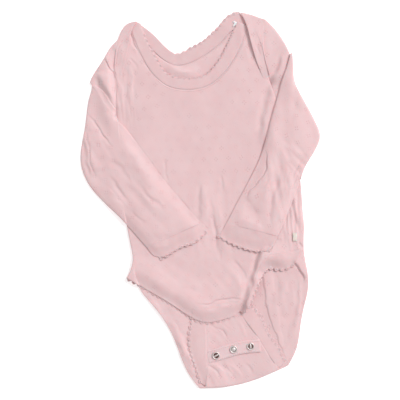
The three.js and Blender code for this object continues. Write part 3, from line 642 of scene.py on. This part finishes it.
back_top = top_of(back_panel)
for node in ("leg_band_back_left", "leg_band_back_right"):
    dressed(edging(node), rib_knit, node, "rib_edging", (0.15, 0.018), "folded")

TAB_LEFT_EDGE = [(1.5, -211), (-4.5, -193), (-11, -175), (-12.5, -156.5), (-9, -138), (-7, -124)]
TAB_RIGHT_EDGE = [(97.5, -186), (88.5, -168), (78, -153), (70, -135.5), (61, -124), (53, -115)]
tab_bands = []
for node, edge, seam, over, loops, side in (
    ("leg_band_tab_left", TAB_LEFT_EDGE, TAB_LEFT_SEAM, (0.9, 0), "tab_left_loops", 1),
    ("leg_band_tab_right", TAB_RIGHT_EDGE, TAB_RIGHT_SEAM, (-0.7, -0.4), "tab_right_loops", -1),
):
    strip = edging(node, TAB_FOLDS, 0, edge, seam, over)
    loop_row = scallops(loops, edge, side, strip, last=0.93)
    dressed(strip, rib_knit, node, "rib_edging", (0.11, 0.024), "laid", with_pieces=[loop_row])
    tab_bands.append(strip)

# Snap tape and snaps. A strip of woven tape is sewn across the tab and carries three nickel ring snaps,
# whose prongs go through the cloth.
tape_cloth = cloth_from("snap_tape", 3, groove=0.1)
spots = places(tape_cloth)
TAPE_LEFT_END = 9  # this end lies down flat
pressed(spots, back_top, 0.85 * np.exp(-(((spots[:, 0] - TAPE_LEFT_END) / 7) ** 2)))
set_places(tape_cloth, spots)
tape_finish = rib("woven_tape", (0.84, 0.64, 0.65), 100)
dressed(tape_cloth, tape_finish, "snap_tape", "woven_tape", (0.062, 0.015), "laid")

# place, colour of the plate inside the ring, which is painted shade in the hollow and is least dark in the
# middle snap, heading of the spring wire; the middle one shows its stud
SNAPS = {
    "snap_1": (18.5, -178, (0.2, 0.09, 0.08), 25),
    "snap_2": (38.5, -171, (0.4, 0.36, 0.35), None),
    "snap_3": (58, -167.5, (0.3, 0.19, 0.18), 98),
}


def nickel(name, colour, roughness):
    """Dull nickel plate, a little uneven where it has been handled."""
    finish, nodes, links, shader, place = node_finish(name)
    shader.inputs["Metallic"].default_value = 0.9
    shader.inputs["Roughness"].default_value = roughness
    wear = clouded(nodes, links, place, 700)
    links.new(toned(nodes, links, wear, darker(colour, 0.8, 0.75, 0.74), colour), shader.inputs["Base Color"])
    return finish


bright_nickel = nickel("bright_nickel", (0.93, 0.88, 0.87), 0.45)
RING_RADIUS, ROLL_RADIUS, RING_RISE = 3.7, 0.7, 0.75
PLATE_RADIUS, PLATE_DEPTH, PLATE_RISE = 3.5, 0.7, 0.4
STUD_RADIUS = 2.1
STUD_FORM, WIRE_FORM = (1.15, 1.15, 0.35), (1.5, 0.5, 0.3)
for node, (x, y, plate_shade_colour, wire_heading) in SNAPS.items():
    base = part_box(node)[0][2] / MM
    ring_place = (x * MM, y * MM, (base + RING_RISE) * MM)
    # a rolled ring, the sunk plate inside it, and the stud or the spring wire in the middle
    bpy.ops.object.select_all(action="DESELECT")
    bpy.ops.mesh.primitive_torus_add(major_segments=36, minor_segments=10, major_radius=RING_RADIUS * MM,
                                     minor_radius=ROLL_RADIUS * MM, location=ring_place)
    ring = bpy.context.object
    ring.data.materials.append(bright_nickel)
    # the sunk plate's dark colour is painted shade in the hollow of the ring
    plate_shade_finish = nickel(node + "_painted_shade", plate_shade_colour, 0.3)
    bpy.ops.mesh.primitive_cylinder_add(vertices=36, radius=PLATE_RADIUS * MM, depth=PLATE_DEPTH * MM,
                                        location=(x * MM, y * MM, (base + PLATE_RISE) * MM))
    plate = bpy.context.object
    plate.data.materials.append(plate_shade_finish)
    bpy.ops.mesh.primitive_uv_sphere_add(segments=24, ring_count=10, radius=STUD_RADIUS * MM,
                                         location=ring_place)
    stud = bpy.context.object
    stud.scale = STUD_FORM if wire_heading is None else WIRE_FORM
    stud.rotation_euler = (0, 0, math.radians(wire_heading or 0))
    stud.data.materials.append(bright_nickel)
    alone(ring, plate, stud)
    bpy.ops.object.join()
    bpy.ops.object.transform_apply(location=True, rotation=True, scale=True)
    bpy.ops.object.shade_smooth_by_angle(angle=math.radians(40))
    ring.name = node + "_ring"
    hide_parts(node)
    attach(ring, "root")

# Front panel. Pointelle knit like the back, lying over it from the armholes to the flap at its foot. It
# hangs loose, so it lies in soft upright folds, and its foot is drawn in along the edging.
LEFT_SLEEVE_OUTLINE = [
    (-110, 96), (-94, 96), (-87.5, 85), (-75, 69), (-61, 49.5), (-47, 30), (-32, 11.5), (-16, -7),
    (1, -26.5), (10.5, -36), (-47, -72), (-61, -54), (-75, -38), (-92, -19.5), (-110, -2),
]
RIGHT_SLEEVE_OUTLINE = [
    (103.5, 167.5), (100, 154), (93, 135.5), (87.5, 115), (81.5, 95.5), (76.5, 76), (72, 57.5), (63.5, 37),
    (55, 20.5), (47, 5.5), (39.5, -8.5), (34, -19.5), (30, -26.5), (22, -43.5), (80.5, -60), (89, -41.5),
    (96.5, -24), (104.5, -4.5), (114, 19.5), (130, 60),
]
ARMHOLE_FOLDS = [
    ("drop", 1.6, 1.6,
     [(-110, 172), (-108, 160), (-103, 150), (-97, 142), (-95, 131), (-95, 120), (-95, 106), (-92, 92)]),
    ("trough", 0.8, 1.0, [(-92, 184), (-94, 169), (-98, 155)]),
    ("ridge", 0.5, 2.4, [(-89, 182), (-90, 166), (-93, 152)]),
    ("trough", 1.2, 1.1, [(-76, 206), (-80, 194), (-78, 184), (-74, 175), (-69, 164)]),
    ("ridge", 0.6, 2.2, [(-90, 138), (-90, 122), (-89, 106)]),
    ("trough", 0.3, 1.5, [(-85, 143), (-84, 124), (-85, 101)]),
    ("ridge", 0.4, 2.6, [(-78, 145), (-79, 126), (-78, 103)]),
    ("trough", 0.5, 1.4, [(-84, 163), (-78, 161), (-74, 155), (-72, 147)]),
    ("ridge", 0.4, 2.2, [(-83, 154), (-79, 148), (-78, 138)]),
]
RIGHT_SHOULDER_FOLDS = [
    ("trough", 0.4, 1.2, [(71, 195), (66, 179), (69, 163)]),
    ("ridge", 0.4, 2.0, [(75, 194), (71, 179), (73, 166)]),
    ("trough", 0.2, 1.0, [(62, 186), (65, 175), (68, 166)]),
    ("trough", 0.3, 3.5, [(82, 163), (90, 163), (99, 169)]),
    ("drop", 2.8, 4.2,
     [(101, 178), (96, 165), (90, 153), (82, 135), (78, 120), (73, 100), (70, 79), (66, 61)]),
]
FRONT_FOLDS = [
    ("trough", 1.0, 2.6, [(44, 216), (50, 203), (54, 186), (59, 168), (66, 148)]),
    ("trough", 0.6, 1.6, [(-39, 48), (-39, 34), (-37, 18)]),
    ("trough", 1.0, 3.0, [(0, 23), (-1, 6), (-2, -25)]),
    ("ridge", 0.7, 4.0, [(7, 18), (6, -5), (7, -28)]),
    ("trough", 1.0, 2.6, [(10, 9), (14, -12), (17, -32), (20, -54), (26, -74)]),
    ("ridge", 0.6, 4.0, [(18, 2), (22, -21), (25, -44), (32, -67)]),
    ("trough", 0.4, 1.8, [(24, 30), (26, 9)]),
    ("trough", 0.6, 1.8, [(37, -67), (46, -78), (56, -93)]),
    ("ridge", 0.7, 4.0, [(37, -78), (44, -92), (46, -106)]),
    ("trough", 1.6, 1.3, [(-5, -118), (7, -120), (20, -116), (33, -113), (51, -113)]),
    ("ridge", 1.0, 3.0, [(-1, -126), (12, -127), (24, -122), (46, -120)]),
    ("ridge", 0.6, 6.0, [(-60, -83), (-40, -100), (-23, -113)]),
    ("trough", 0.4, 5.0, [(-25, -97), (-5, -105), (16, -101)]),
    ("trough", 0.4, 1.8, [(-27, 7), (-18, -6), (-9, -17)]),
    ("trough", 0.7, 1.5, [(106, 12), (101, -10), (98, -25), (97, -39)]),
    ("trough", 0.9, 2.6, [(90, -7), (89, -25), (91, -41)]),
    ("trough", 0.7, 1.5, [(118, 40), (115, 29), (110, 12)]),
    ("ridge", 0.6, 2.0, [(114, 28), (110, 9), (108, -9), (105, -34)]),
    ("trough", 0.6, 1.3, [(110, -9), (109, -25), (110, -39)]),
    ("trough", 0.6, 1.4, [(83, -42), (87, -45), (94, -45)]),
    ("trough", 0.8, 1.6, [(112, -48), (116, -52), (120, -59)]),
    ("drop", 5.0, 5.5,
     [(76, -41), (71, -55), (68, -67), (64, -80), (60, -92), (56, -105), (52, -118), (48, -129), (45, -140)]),
]


LEFT_ARMHOLE = [(-89, 196), (-94.8, 185.2), (-97, 171), (-98.6, 154), (-97.6, 135), (-95, 96)]
RIGHT_ARMHOLE = [(74.6, 207.4), (72, 194), (71.8, 178), (73.6, 163), (77.6, 147), (84.4, 125), (94.2, 96)]
HEM_LOOPS = [
    (-84, -89.5), (-57.5, -104.5), (-32, -119.5), (-8, -135.5), (7, -140.5), (25.5, -137), (42.5, -131),
]
LEG_EDGE = [(73.5, -83.5), (80.5, -78), (89, -79.5), (98, -79), (108.5, -73)]
# middle, half length, half width, heading, spacing and height of the fine gathers
FRONT_GATHERS = [
    (108, -12, 46, 15, 97, 3.8, 1.5),
    (-84, 114, 32, 10, 92, 3.2, 0.5),
    (14, -30, 44, 26, 98, 9.0, 0.6),
    (36, -88, 26, 24, -48, 8.0, 0.4),
    (-40, -84, 40, 30, -36, 10.0, 0.4),
]


DEEPEST = -1.6  # no trough of the front or of a sleeve goes deeper


def lay_front(piece):
    """Lays the front's folds into a piece, fading them out under the sleeves, which lie on it."""
    spots = places(piece)
    x, y = spots[:, 0], spots[:, 1]
    covered = np.maximum(inside_depth(x, y, LEFT_SLEEVE_OUTLINE), inside_depth(x, y, RIGHT_SLEEVE_OUTLINE))
    free = 1 - ease(covered, -1, 6)
    folds = np.maximum(fold_height(x, y, FRONT_FOLDS) + gathers(x, y, FRONT_GATHERS), DEEPEST)
    spots[:, 2] += free * (folds + unevenness(spots, 30, 0.9, 1)) + fold_height(x, y, ARMHOLE_FOLDS)
    spots[:, 2] += np.maximum(fold_height(x, y, RIGHT_SHOULDER_FOLDS), -1) * (x > 60)
    drawn_over(spots, LEFT_ARMHOLE, -0.8)
    drawn_over(spots, RIGHT_ARMHOLE, 0.8)
    hem = beside(spots, HEM_LOOPS, 9) + beside(spots, LEG_EDGE, 8)
    pressed(spots, under_hem, 0.75 * np.minimum(hem, 1))
    set_places(piece, spots)


under_hem = top_of(back_panel, *tab_bands)
front_panel = cloth_from("front_panel", 2, groove=0.12)
refine(front_panel, FRONT_FOLDS + ARMHOLE_FOLDS + patch_lines(FRONT_GATHERS), 5)
refine(front_panel, FRONT_FOLDS + ARMHOLE_FOLDS, 2.5)
lay_front(front_panel)
dressed(front_panel, body_knit, "front_panel", "pointelle_knit", (0.216, 0.341), "laid", area=0.0511,
        rests_on=[back_panel.name])
front_top = top_of(front_panel)

FRONT_NECK_LOOPS = [
    (-70.5, 203.5), (-58.5, 177), (-48.5, 158.5), (-35.5, 142.5), (-12.5, 138.5), (6, 142.5), (19.5, 156),
    (31, 176), (43.5, 204),
]
BACK_NECK_LOOPS = [(-14, 172), (3.5, 181.5), (19.5, 195.5), (32, 209.5), (45, 216)]
LEG_LOOPS = [(49.5, -129), (57.5, -117), (65.5, -97), *LEG_EDGE]
LEG_SEAM = [(71, -71), (78, -65), (86, -62), (100, -59), (118, -56)]
neck_band_back = edging("neck_band_back", groove=0)
spots = places(neck_band_back)
waves = np.maximum(unevenness(spots, 24, 0.8, 4), -0.15)
spots[:, 2] += ease(spots[:, 2], 0.6, 1.2) * waves
set_places(neck_band_back, spots)
neck_back_loops = scallops("neck_back_loops", BACK_NECK_LOOPS, 1, neck_band_back, first=0.04, last=0.97)
dressed(neck_band_back, rib_knit, "neck_band_back", "rib_edging", (0.18, 0.017), "laid",
        with_pieces=[neck_back_loops])
FRONT_BANDS = (
    # node, cut size, how it lies, groove, how far its seam is drawn over, its loops' line, side, first and
    # last share of the line, and size
    ("neck_band_front", (0.19, 0.017), "laid", 0.15, None, FRONT_NECK_LOOPS, 1, 0.06, 0.93, 0.7),
    ("leg_band_front_left", (0.15, 0.012), "folded", 0.15, None, HEM_LOOPS, -1, 0.06, 0.97, 1),
    ("leg_band_front_right", (0.125, 0.017), "laid", 0, (-0.3, 0.9, 0.05), LEG_LOOPS, -1, 0.02, 1, 1),
)
for node, size, lies, groove, seam_shift, loops, side, first, last, loop_size in FRONT_BANDS:
    strip = edging(node, groove=groove)
    if seam_shift:
        spots = places(strip)
        spots += beside(spots, LEG_SEAM, 3)[:, None] * np.array(seam_shift)
        set_places(strip, spots)
    lay_front(strip)
    loop_row = scallops(node + "_loops", loops, side, strip, first=first, last=last, size=loop_size)
    dressed(strip, rib_knit, node, "rib_edging", size, lies, with_pieces=[loop_row])

# Shoulders. The back comes over the front at each shoulder and ends in a free edge, so that the neck opens
# like an envelope. The free edge stands off the front at the neck and is sewn down towards the armhole.
LEFT_FREE_EDGE = (
    "ridge", 0.8, 4.5, [(-72, 212), (-79.5, 193), (-81, 181), (-84, 168), (-87.5, 152), (-93, 138)],
)
RIGHT_FREE_EDGE = (
    "ridge", 0.9, 5.0, [(38, 236), (46.5, 216), (53, 202.5), (57.5, 184), (64.5, 160), (72, 142), (80, 124)],
)
FLAPS = (
    # node, cut size, armhole, share that it is pressed there, how far it is drawn over the sleeve, where the
    # free edge is sewn down, its lift
    ("back_shoulder_left", (0.03, 0.068), LEFT_ARMHOLE, 0.6, 0, (192, 174), LEFT_FREE_EDGE),
    ("back_shoulder_right", (0.036, 0.076), RIGHT_ARMHOLE, 0.2, 1.6, (184, 146), RIGHT_FREE_EDGE),
)
shoulders = []
for node, size, armhole, share, over, (sewn_from, sewn_to), free_edge in FLAPS:
    shoulder = cloth_from(node, 3, groove=0.1)
    refine(shoulder, ARMHOLE_FOLDS + RIGHT_SHOULDER_FOLDS, 3)
    spots = places(shoulder)
    x, y = spots[:, 0], spots[:, 1]
    beside_sleeve = beside(spots, armhole, 7)
    sewn_down = 1 - ease(y, sewn_to, sewn_from)
    spots[:, 2] += fold_height(x, y, [free_edge, *RIGHT_SHOULDER_FOLDS[:-1]])
    end = 1 - ease(y, y.min() + 1, y.min() + 14)
    pressed(spots, front_top, np.maximum(share * beside_sleeve, 0.65 * sewn_down + 0.25 * end))
    drawn_over(spots, armhole, over)
    set_places(shoulder, spots)
    dressed(shoulder, body_knit, node, "pointelle_knit", size, "folded")
    shoulders.append(shoulder)

# Sleeves. Flat tubes of the same knit, set into the armholes and folded in over the front. Their upper wall
# is creased at the elbow and where the tube turns.


def upper_wall(piece):
    """1 on a flat tube's upper wall, 0 on its lower wall, and in between along its edges."""
    mesh = piece.data
    tree = BVHTree.FromPolygons([v.co for v in mesh.vertices], [p.vertices for p in mesh.polygons])
    share = np.ones(len(mesh.vertices))
    for i, (x, y, z) in enumerate(places(piece)):
        top = tree.ray_cast(Vector((x * MM, y * MM, CLEAR)), Vector((0, 0, -1)))[0]
        low = tree.ray_cast(Vector((x * MM, y * MM, -CLEAR)), Vector((0, 0, 1)))[0]
        if top is not None and low is not None:
            share[i] = z - (top.z + low.z) / 2 / MM
    return ease(share, -0.3, 0.3)


LEFT_SLEEVE_FOLDS = [
    ("lap", 0.5, 1.0, [(-90, 93), (-102, 110), (-110, 124), (-117, 130), (-124, 133)]),
    ("drop", 4.8, 6.0, [(-120, 145), (-112, 133), (-106, 121), (-100, 108), (-95, 94)]),
    ("trough", 0.9, 1.3, [(-133, 103), (-125, 94), (-118, 83), (-109, 71), (-96, 58)]),
    ("ridge", 0.5, 3.4, [(-133, 92), (-124, 82), (-116, 70), (-106, 57)]),
    ("drop", 0.8, 1.9, [(-132, 82), (-126, 62), (-125, 43), (-118, 26)]),
    ("drop", 1.4, 4.4, [(-135, 78), (-131, 61), (-130, 43), (-123, 25)]),
    ("trough", 0.7, 3.6, [(-110, 46), (-100, 43), (-91, 37), (-84, 26), (-77, 15)]),
    ("ridge", 0.9, 6.0, [(-94, 78), (-76, 48), (-57, 18), (-46, 0)]),
    ("trough", 0.8, 2.4, [(-105, 31), (-95, 16), (-89, 6), (-79, -5)]),
    ("ridge", 0.5, 3.2, [(-108, 18), (-98, 3), (-86, -12)]),
    ("trough", 0.7, 2.6, [(-70, 18), (-61, 7), (-52, -1), (-41, -13)]),
    ("trough", 0.5, 1.6, [(-80, -10), (-74, -18), (-64, -26)]),
    ("trough", 0.8, 4.0, [(-56, -41), (-46, -44), (-32, -41), (-18, -36), (-3, -29)]),
    ("ridge", 0.6, 3.0, [(-57, -53), (-39, -53), (-21, -45)]),
]
RIGHT_SLEEVE_FOLDS = [
    ("drop", 1.5, 1.2, [(76, 60), (76, 46), (75, 32), (67, 20), (57, 10), (51, 0)]),
    ("trough", 1.1, 3.0, [(93, 46), (89, 25), (84, 12), (82, -5), (80, -18), (83, -36)]),
    ("ridge", 0.7, 4.0, [(84, 46), (80, 25), (74, 9), (71, -7)]),
    ("trough", 1.0, 6.0, [(45, 5), (53, -3), (62, -13), (74, -23)]),
    ("ridge", 0.9, 5.0, [(37, -25), (49, -23), (64, -30), (76, -41)]),
    ("trough", 0.5, 2.0, [(80, 28), (73, 16), (64, 8)]),
    ("trough", 0.9, 1.7, [(124, 54), (113, 42), (108, 32), (107, 18)]),
    ("trough", 0.5, 1.3, [(118, 39), (111, 28), (106, 12)]),
    ("ridge", 0.7, 2.6, [(100, 39), (98, 21), (96, 0)]),
    ("trough", 0.8, 7.0, [(90, 71), (105, 61), (121, 67)]),
    ("ridge", 0.7, 6.0, [(80, 101), (83, 78), (86, 53)]),
    ("trough", 0.6, 5.0, [(112, 124), (107, 103), (101, 83)]),
    ("trough", 0.8, 4.0, [(37, -46), (53, -49), (71, -53)]),
]
LEFT_SLEEVE_GATHERS = [
    (-90, 14, 38, 18, -48, 8.0, 0.6),
    (-52, -12, 30, 22, -48, 9.0, 0.4),
    (-119, 60, 28, 14, -62, 7.0, 0.7),
]
RIGHT_SLEEVE_GATHERS = [
    (94, 6, 46, 16, 98, 6.0, 1.0),
    (112, 44, 22, 12, 130, 4.5, 0.8),
    (60, 0, 34, 18, 62, 9.0, 0.4),
]
# the edges of a sleeve: each with the share that it is flattened, the width of that, and its line
LEFT_EDGES = (
    (0.75, 8, [(-99, 92), (-93, 88.8), (-87.5, 85), (-75, 69), (-61, 49.5), (-47, 30), (-32, 11.5), (-16, -7),
               (1, -26.5), (14, -40)]),
    (0.5, 6, [(-100, -11), (-92, -19.5), (-75, -38), (-61, -54), (-47, -71)]),
)
RIGHT_EDGES = (
    (0.45, 8, [(76.5, 76), (72, 57.5), (63.5, 37), (55, 20.5), (47, 5.5), (39.5, -8.5), (34, -19.5),
               (30, -26.5), (18, -52)]),
    (0.5, 6, [(119, 36), (114, 19.5), (104.5, -4.5), (96.5, -24), (89, -41.5), (80.5, -60)]),
)
SLEEVES = (
    # node, its own folds, its gathers, folds that it shares, run of the knit, cut size, edges, seed
    ("sleeve_left", LEFT_SLEEVE_FOLDS, LEFT_SLEEVE_GATHERS, ARMHOLE_FOLDS, 38, (0.16, 0.24), LEFT_EDGES, 2),
    ("sleeve_right", RIGHT_SLEEVE_FOLDS, RIGHT_SLEEVE_GATHERS, [], -26, (0.15, 0.21), RIGHT_EDGES, 3),
)


def flattened(points, edges):
    """Flattens a sleeve along its edges, where it lies thin on the front."""
    for share, width, edge in edges:
        along = off_line(points[:, 0], points[:, 1], edge)[1]
        pressed(points, front_top, share * beside(points, edge, width) * ease(along, 0, 0.25))


for node, folds, patches, shared, turn, size, edges, seed in SLEEVES:
    sleeve = cloth_from(node, 2, groove=0.1)
    refine(sleeve, folds + shared + patch_lines(patches), 3.8)
    refine(sleeve, folds + shared, 2.0)
    points = places(sleeve)
    wall = upper_wall(sleeve)
    x, y = points[:, 0], points[:, 1]
    creases = np.maximum(fold_height(x, y, folds) + gathers(x, y, patches), DEEPEST)
    points[:, 2] += wall * (creases + unevenness(points, 26, 0.9, seed)) + fold_height(x, y, shared)
    flattened(points, edges)
    if node == "sleeve_left":
        drawn_over(points, LEFT_ARMHOLE, 2.0)
        level_with(points, LEFT_ARMHOLE, top_of(front_panel, shoulders[0]), 3.0, wall, 3.5)
    set_places(sleeve, points)
    dressed(sleeve, pointelle("pointelle_" + node, PINK, turn), node, "pointelle_knit", size, "folded",
            rests_on=[front_panel.name])

sleeve_right_head = cloth_from("sleeve_right_head", 2, groove=0.1)
refine(sleeve_right_head, RIGHT_SHOULDER_FOLDS, 6)
points = places(sleeve_right_head)
wall = upper_wall(sleeve_right_head)
lift = fold_height(points[:, 0], points[:, 1], [RIGHT_FREE_EDGE, *RIGHT_SHOULDER_FOLDS])
points[:, 2] += wall * np.maximum(lift, -1)
drawn_over(points, RIGHT_ARMHOLE, -0.6)
level_with(points, RIGHT_ARMHOLE, top_of(front_panel, shoulders[1]), -2.5, wall, 9)
points[:, 2] -= 0.4 * wall * beside(points, RIGHT_ARMHOLE, 4)  # its edge lies just under the flap's
set_places(sleeve_right_head, points)
dressed(sleeve_right_head, body_knit, "sleeve_right_head", "pointelle_knit", (0.05, 0.12), "folded")

# Cuffs. Short ribbed tubes with a scalloped end, sewn onto the ends of the sleeves. The lower one's end lies
# in a slight curve, with its outer corner rounded.
CUFFS = (
    # node, the corners of its end, its scalloped edge as it lies, the side that it is free on, its seam, the
    # way towards the sleeve, the sleeve's folds and edges
    ("cuff_left", [(-46.5, -71), (10, -36)],
     [(-47, -68.5), (-37, -62.5), (-22.5, -53.5), (-4.5, -47), (8, -34)],
     -1, [(-61, -54.4), (1.3, -26.9)], (-0.4, 0.9), LEFT_SLEEVE_FOLDS, LEFT_EDGES),
    ("cuff_right", [(80.5, -60), (22, -43.5)],
     [(81.5, -57.5), (64.5, -58), (51.5, -55), (34.5, -48.5), (22, -41.5)],
     1, [(89, -42), (29.8, -27)], (0.25, 0.97), RIGHT_SLEEVE_FOLDS, RIGHT_EDGES),
)
TIP_ROUNDING, TIP_REACH = 3, 4.5
for node, corners, picots, side, seam, (up_x, up_y), folds, edges in CUFFS:
    cuff = cloth_from(node, 2, groove=0)
    refine(cuff, folds, 4)
    points = places(cuff)
    points[:, 2] += upper_wall(cuff) * np.maximum(fold_height(points[:, 0], points[:, 1], folds), -1.2)
    flattened(points, edges)
    pressed(points, front_top, 0.6 * beside(points, picots, 12))
    into_sleeve = 0.9 * beside(points, seam, 3)
    points[:, 0] += up_x * into_sleeve
    points[:, 1] += up_y * into_sleeve
    # the end, straight as cut, is drawn to the line that it lies in
    off, along = off_line(points[:, 0], points[:, 1], corners)
    route = walk(picots, 1)[0]
    steps = np.linspace(0, 1, len(route))
    for axis in (0, 1):
        straight = corners[0][axis] + along * (corners[1][axis] - corners[0][axis])
        points[:, axis] += np.exp(-((off / 9) ** 2)) * (np.interp(along, steps, route[:, axis]) - straight)
    from_tip = np.hypot(points[:, 0] - picots[0][0], points[:, 1] - picots[0][1])
    points[:, 1] += TIP_ROUNDING * np.exp(-((from_tip / TIP_REACH) ** 2))
    set_places(cuff, points)
    cuff_loops = scallops(node + "_loops", picots, side, cuff)
    dressed(cuff, rib_knit, node, "rib_edging", (0.14, 0.02), "folded", with_pieces=[cuff_loops])

# Care label. A small blank ribbon of white satin, folded once and caught in the right side seam, so that
# only its end shows.
label = cloth_from("side_label", 2)
satin = rib("white_satin", (0.8, 0.74, 0.67), 5)
dressed(label, satin, "side_label", "satin_label", (0.01, 0.01), "laid", area=0.00004)

# Sewing. Rows of short stitches of pink thread hold the edging of the front neck and the snap tape, and a
# knot of white thread ends the neck's seam at the right shoulder.
thread = rib("pink_thread", (0.72, 0.46, 0.47), 0)
bpy.ops.object.select_all(action="DESELECT")
bpy.ops.mesh.primitive_uv_sphere_add(segments=6, ring_count=4, radius=MM)
one_stitch = bpy.context.object
STITCH_STEP, STITCH_LIFT, STITCH_FORM = 2.6, 0.05, (1.0, 0.24, 0.2)


def sewing(name, line, carrier):
    """A row of stitches along a line, lying on the cloth that carries it."""
    spots, heading = walk(line, STITCH_STEP)
    height = top_of(carrier)
    copies = []
    for (x, y), (dx, dy) in zip(spots, heading):
        under = height(x, y)
        if under is None:
            continue
        stitch = bpy.data.objects.new(name, one_stitch.data.copy())
        bpy.context.collection.objects.link(stitch)
        stitch.location = (x * MM, y * MM, (under + STITCH_LIFT) * MM)
        stitch.rotation_euler = (0, 0, math.atan2(dy, dx))
        stitch.scale = STITCH_FORM
        copies.append(stitch)
    joined(copies, name, [thread])


back_band_top = top_of(neck_band_back)
white_thread = rib("white_thread", (0.95, 0.95, 0.94), 20)
FRONT_NECK_SEAM = [
    (-78, 190.5), (-68, 166.5), (-54.3, 143.6), (-36.7, 128.4), (-12.5, 124.4), (9.6, 129), (29.7, 146),
    (43.9, 167), (54, 190),
]
sewing("front_neck_stitches", FRONT_NECK_SEAM, front_panel)
TACK_LENGTH, TACK_LIFT, TACK_FORM = 3.2, 0.6, (1, 0.42, 0.28)
bpy.ops.object.select_all(action="DESELECT")
tack_threads = []
for x, y, turn in ((40.6, 203.4, -30), (41.4, 201.8, 15), (39.6, 201.2, 55)):
    bpy.ops.mesh.primitive_uv_sphere_add(segments=12, ring_count=6, radius=TACK_LENGTH * MM,
                                         location=(x * MM, y * MM, (back_band_top(x, y) + TACK_LIFT) * MM))
    tack = bpy.context.object
    tack.scale = TACK_FORM
    tack.rotation_euler = (0, 0, math.radians(turn))
    tack_threads.append(tack)
joined(tack_threads, "white_tack", [white_thread])
sewing("tape_upper_stitches", [(9.5, -174.5), (28.5, -169), (48, -163.5), (68, -161.5)], tape_cloth)
sewing("tape_lower_stitches", [(11, -185.5), (29, -180.5), (48, -175), (69, -172.5)], tape_cloth)

for spare in (scallop_loop, one_stitch):
    bpy.data.objects.remove(spare)
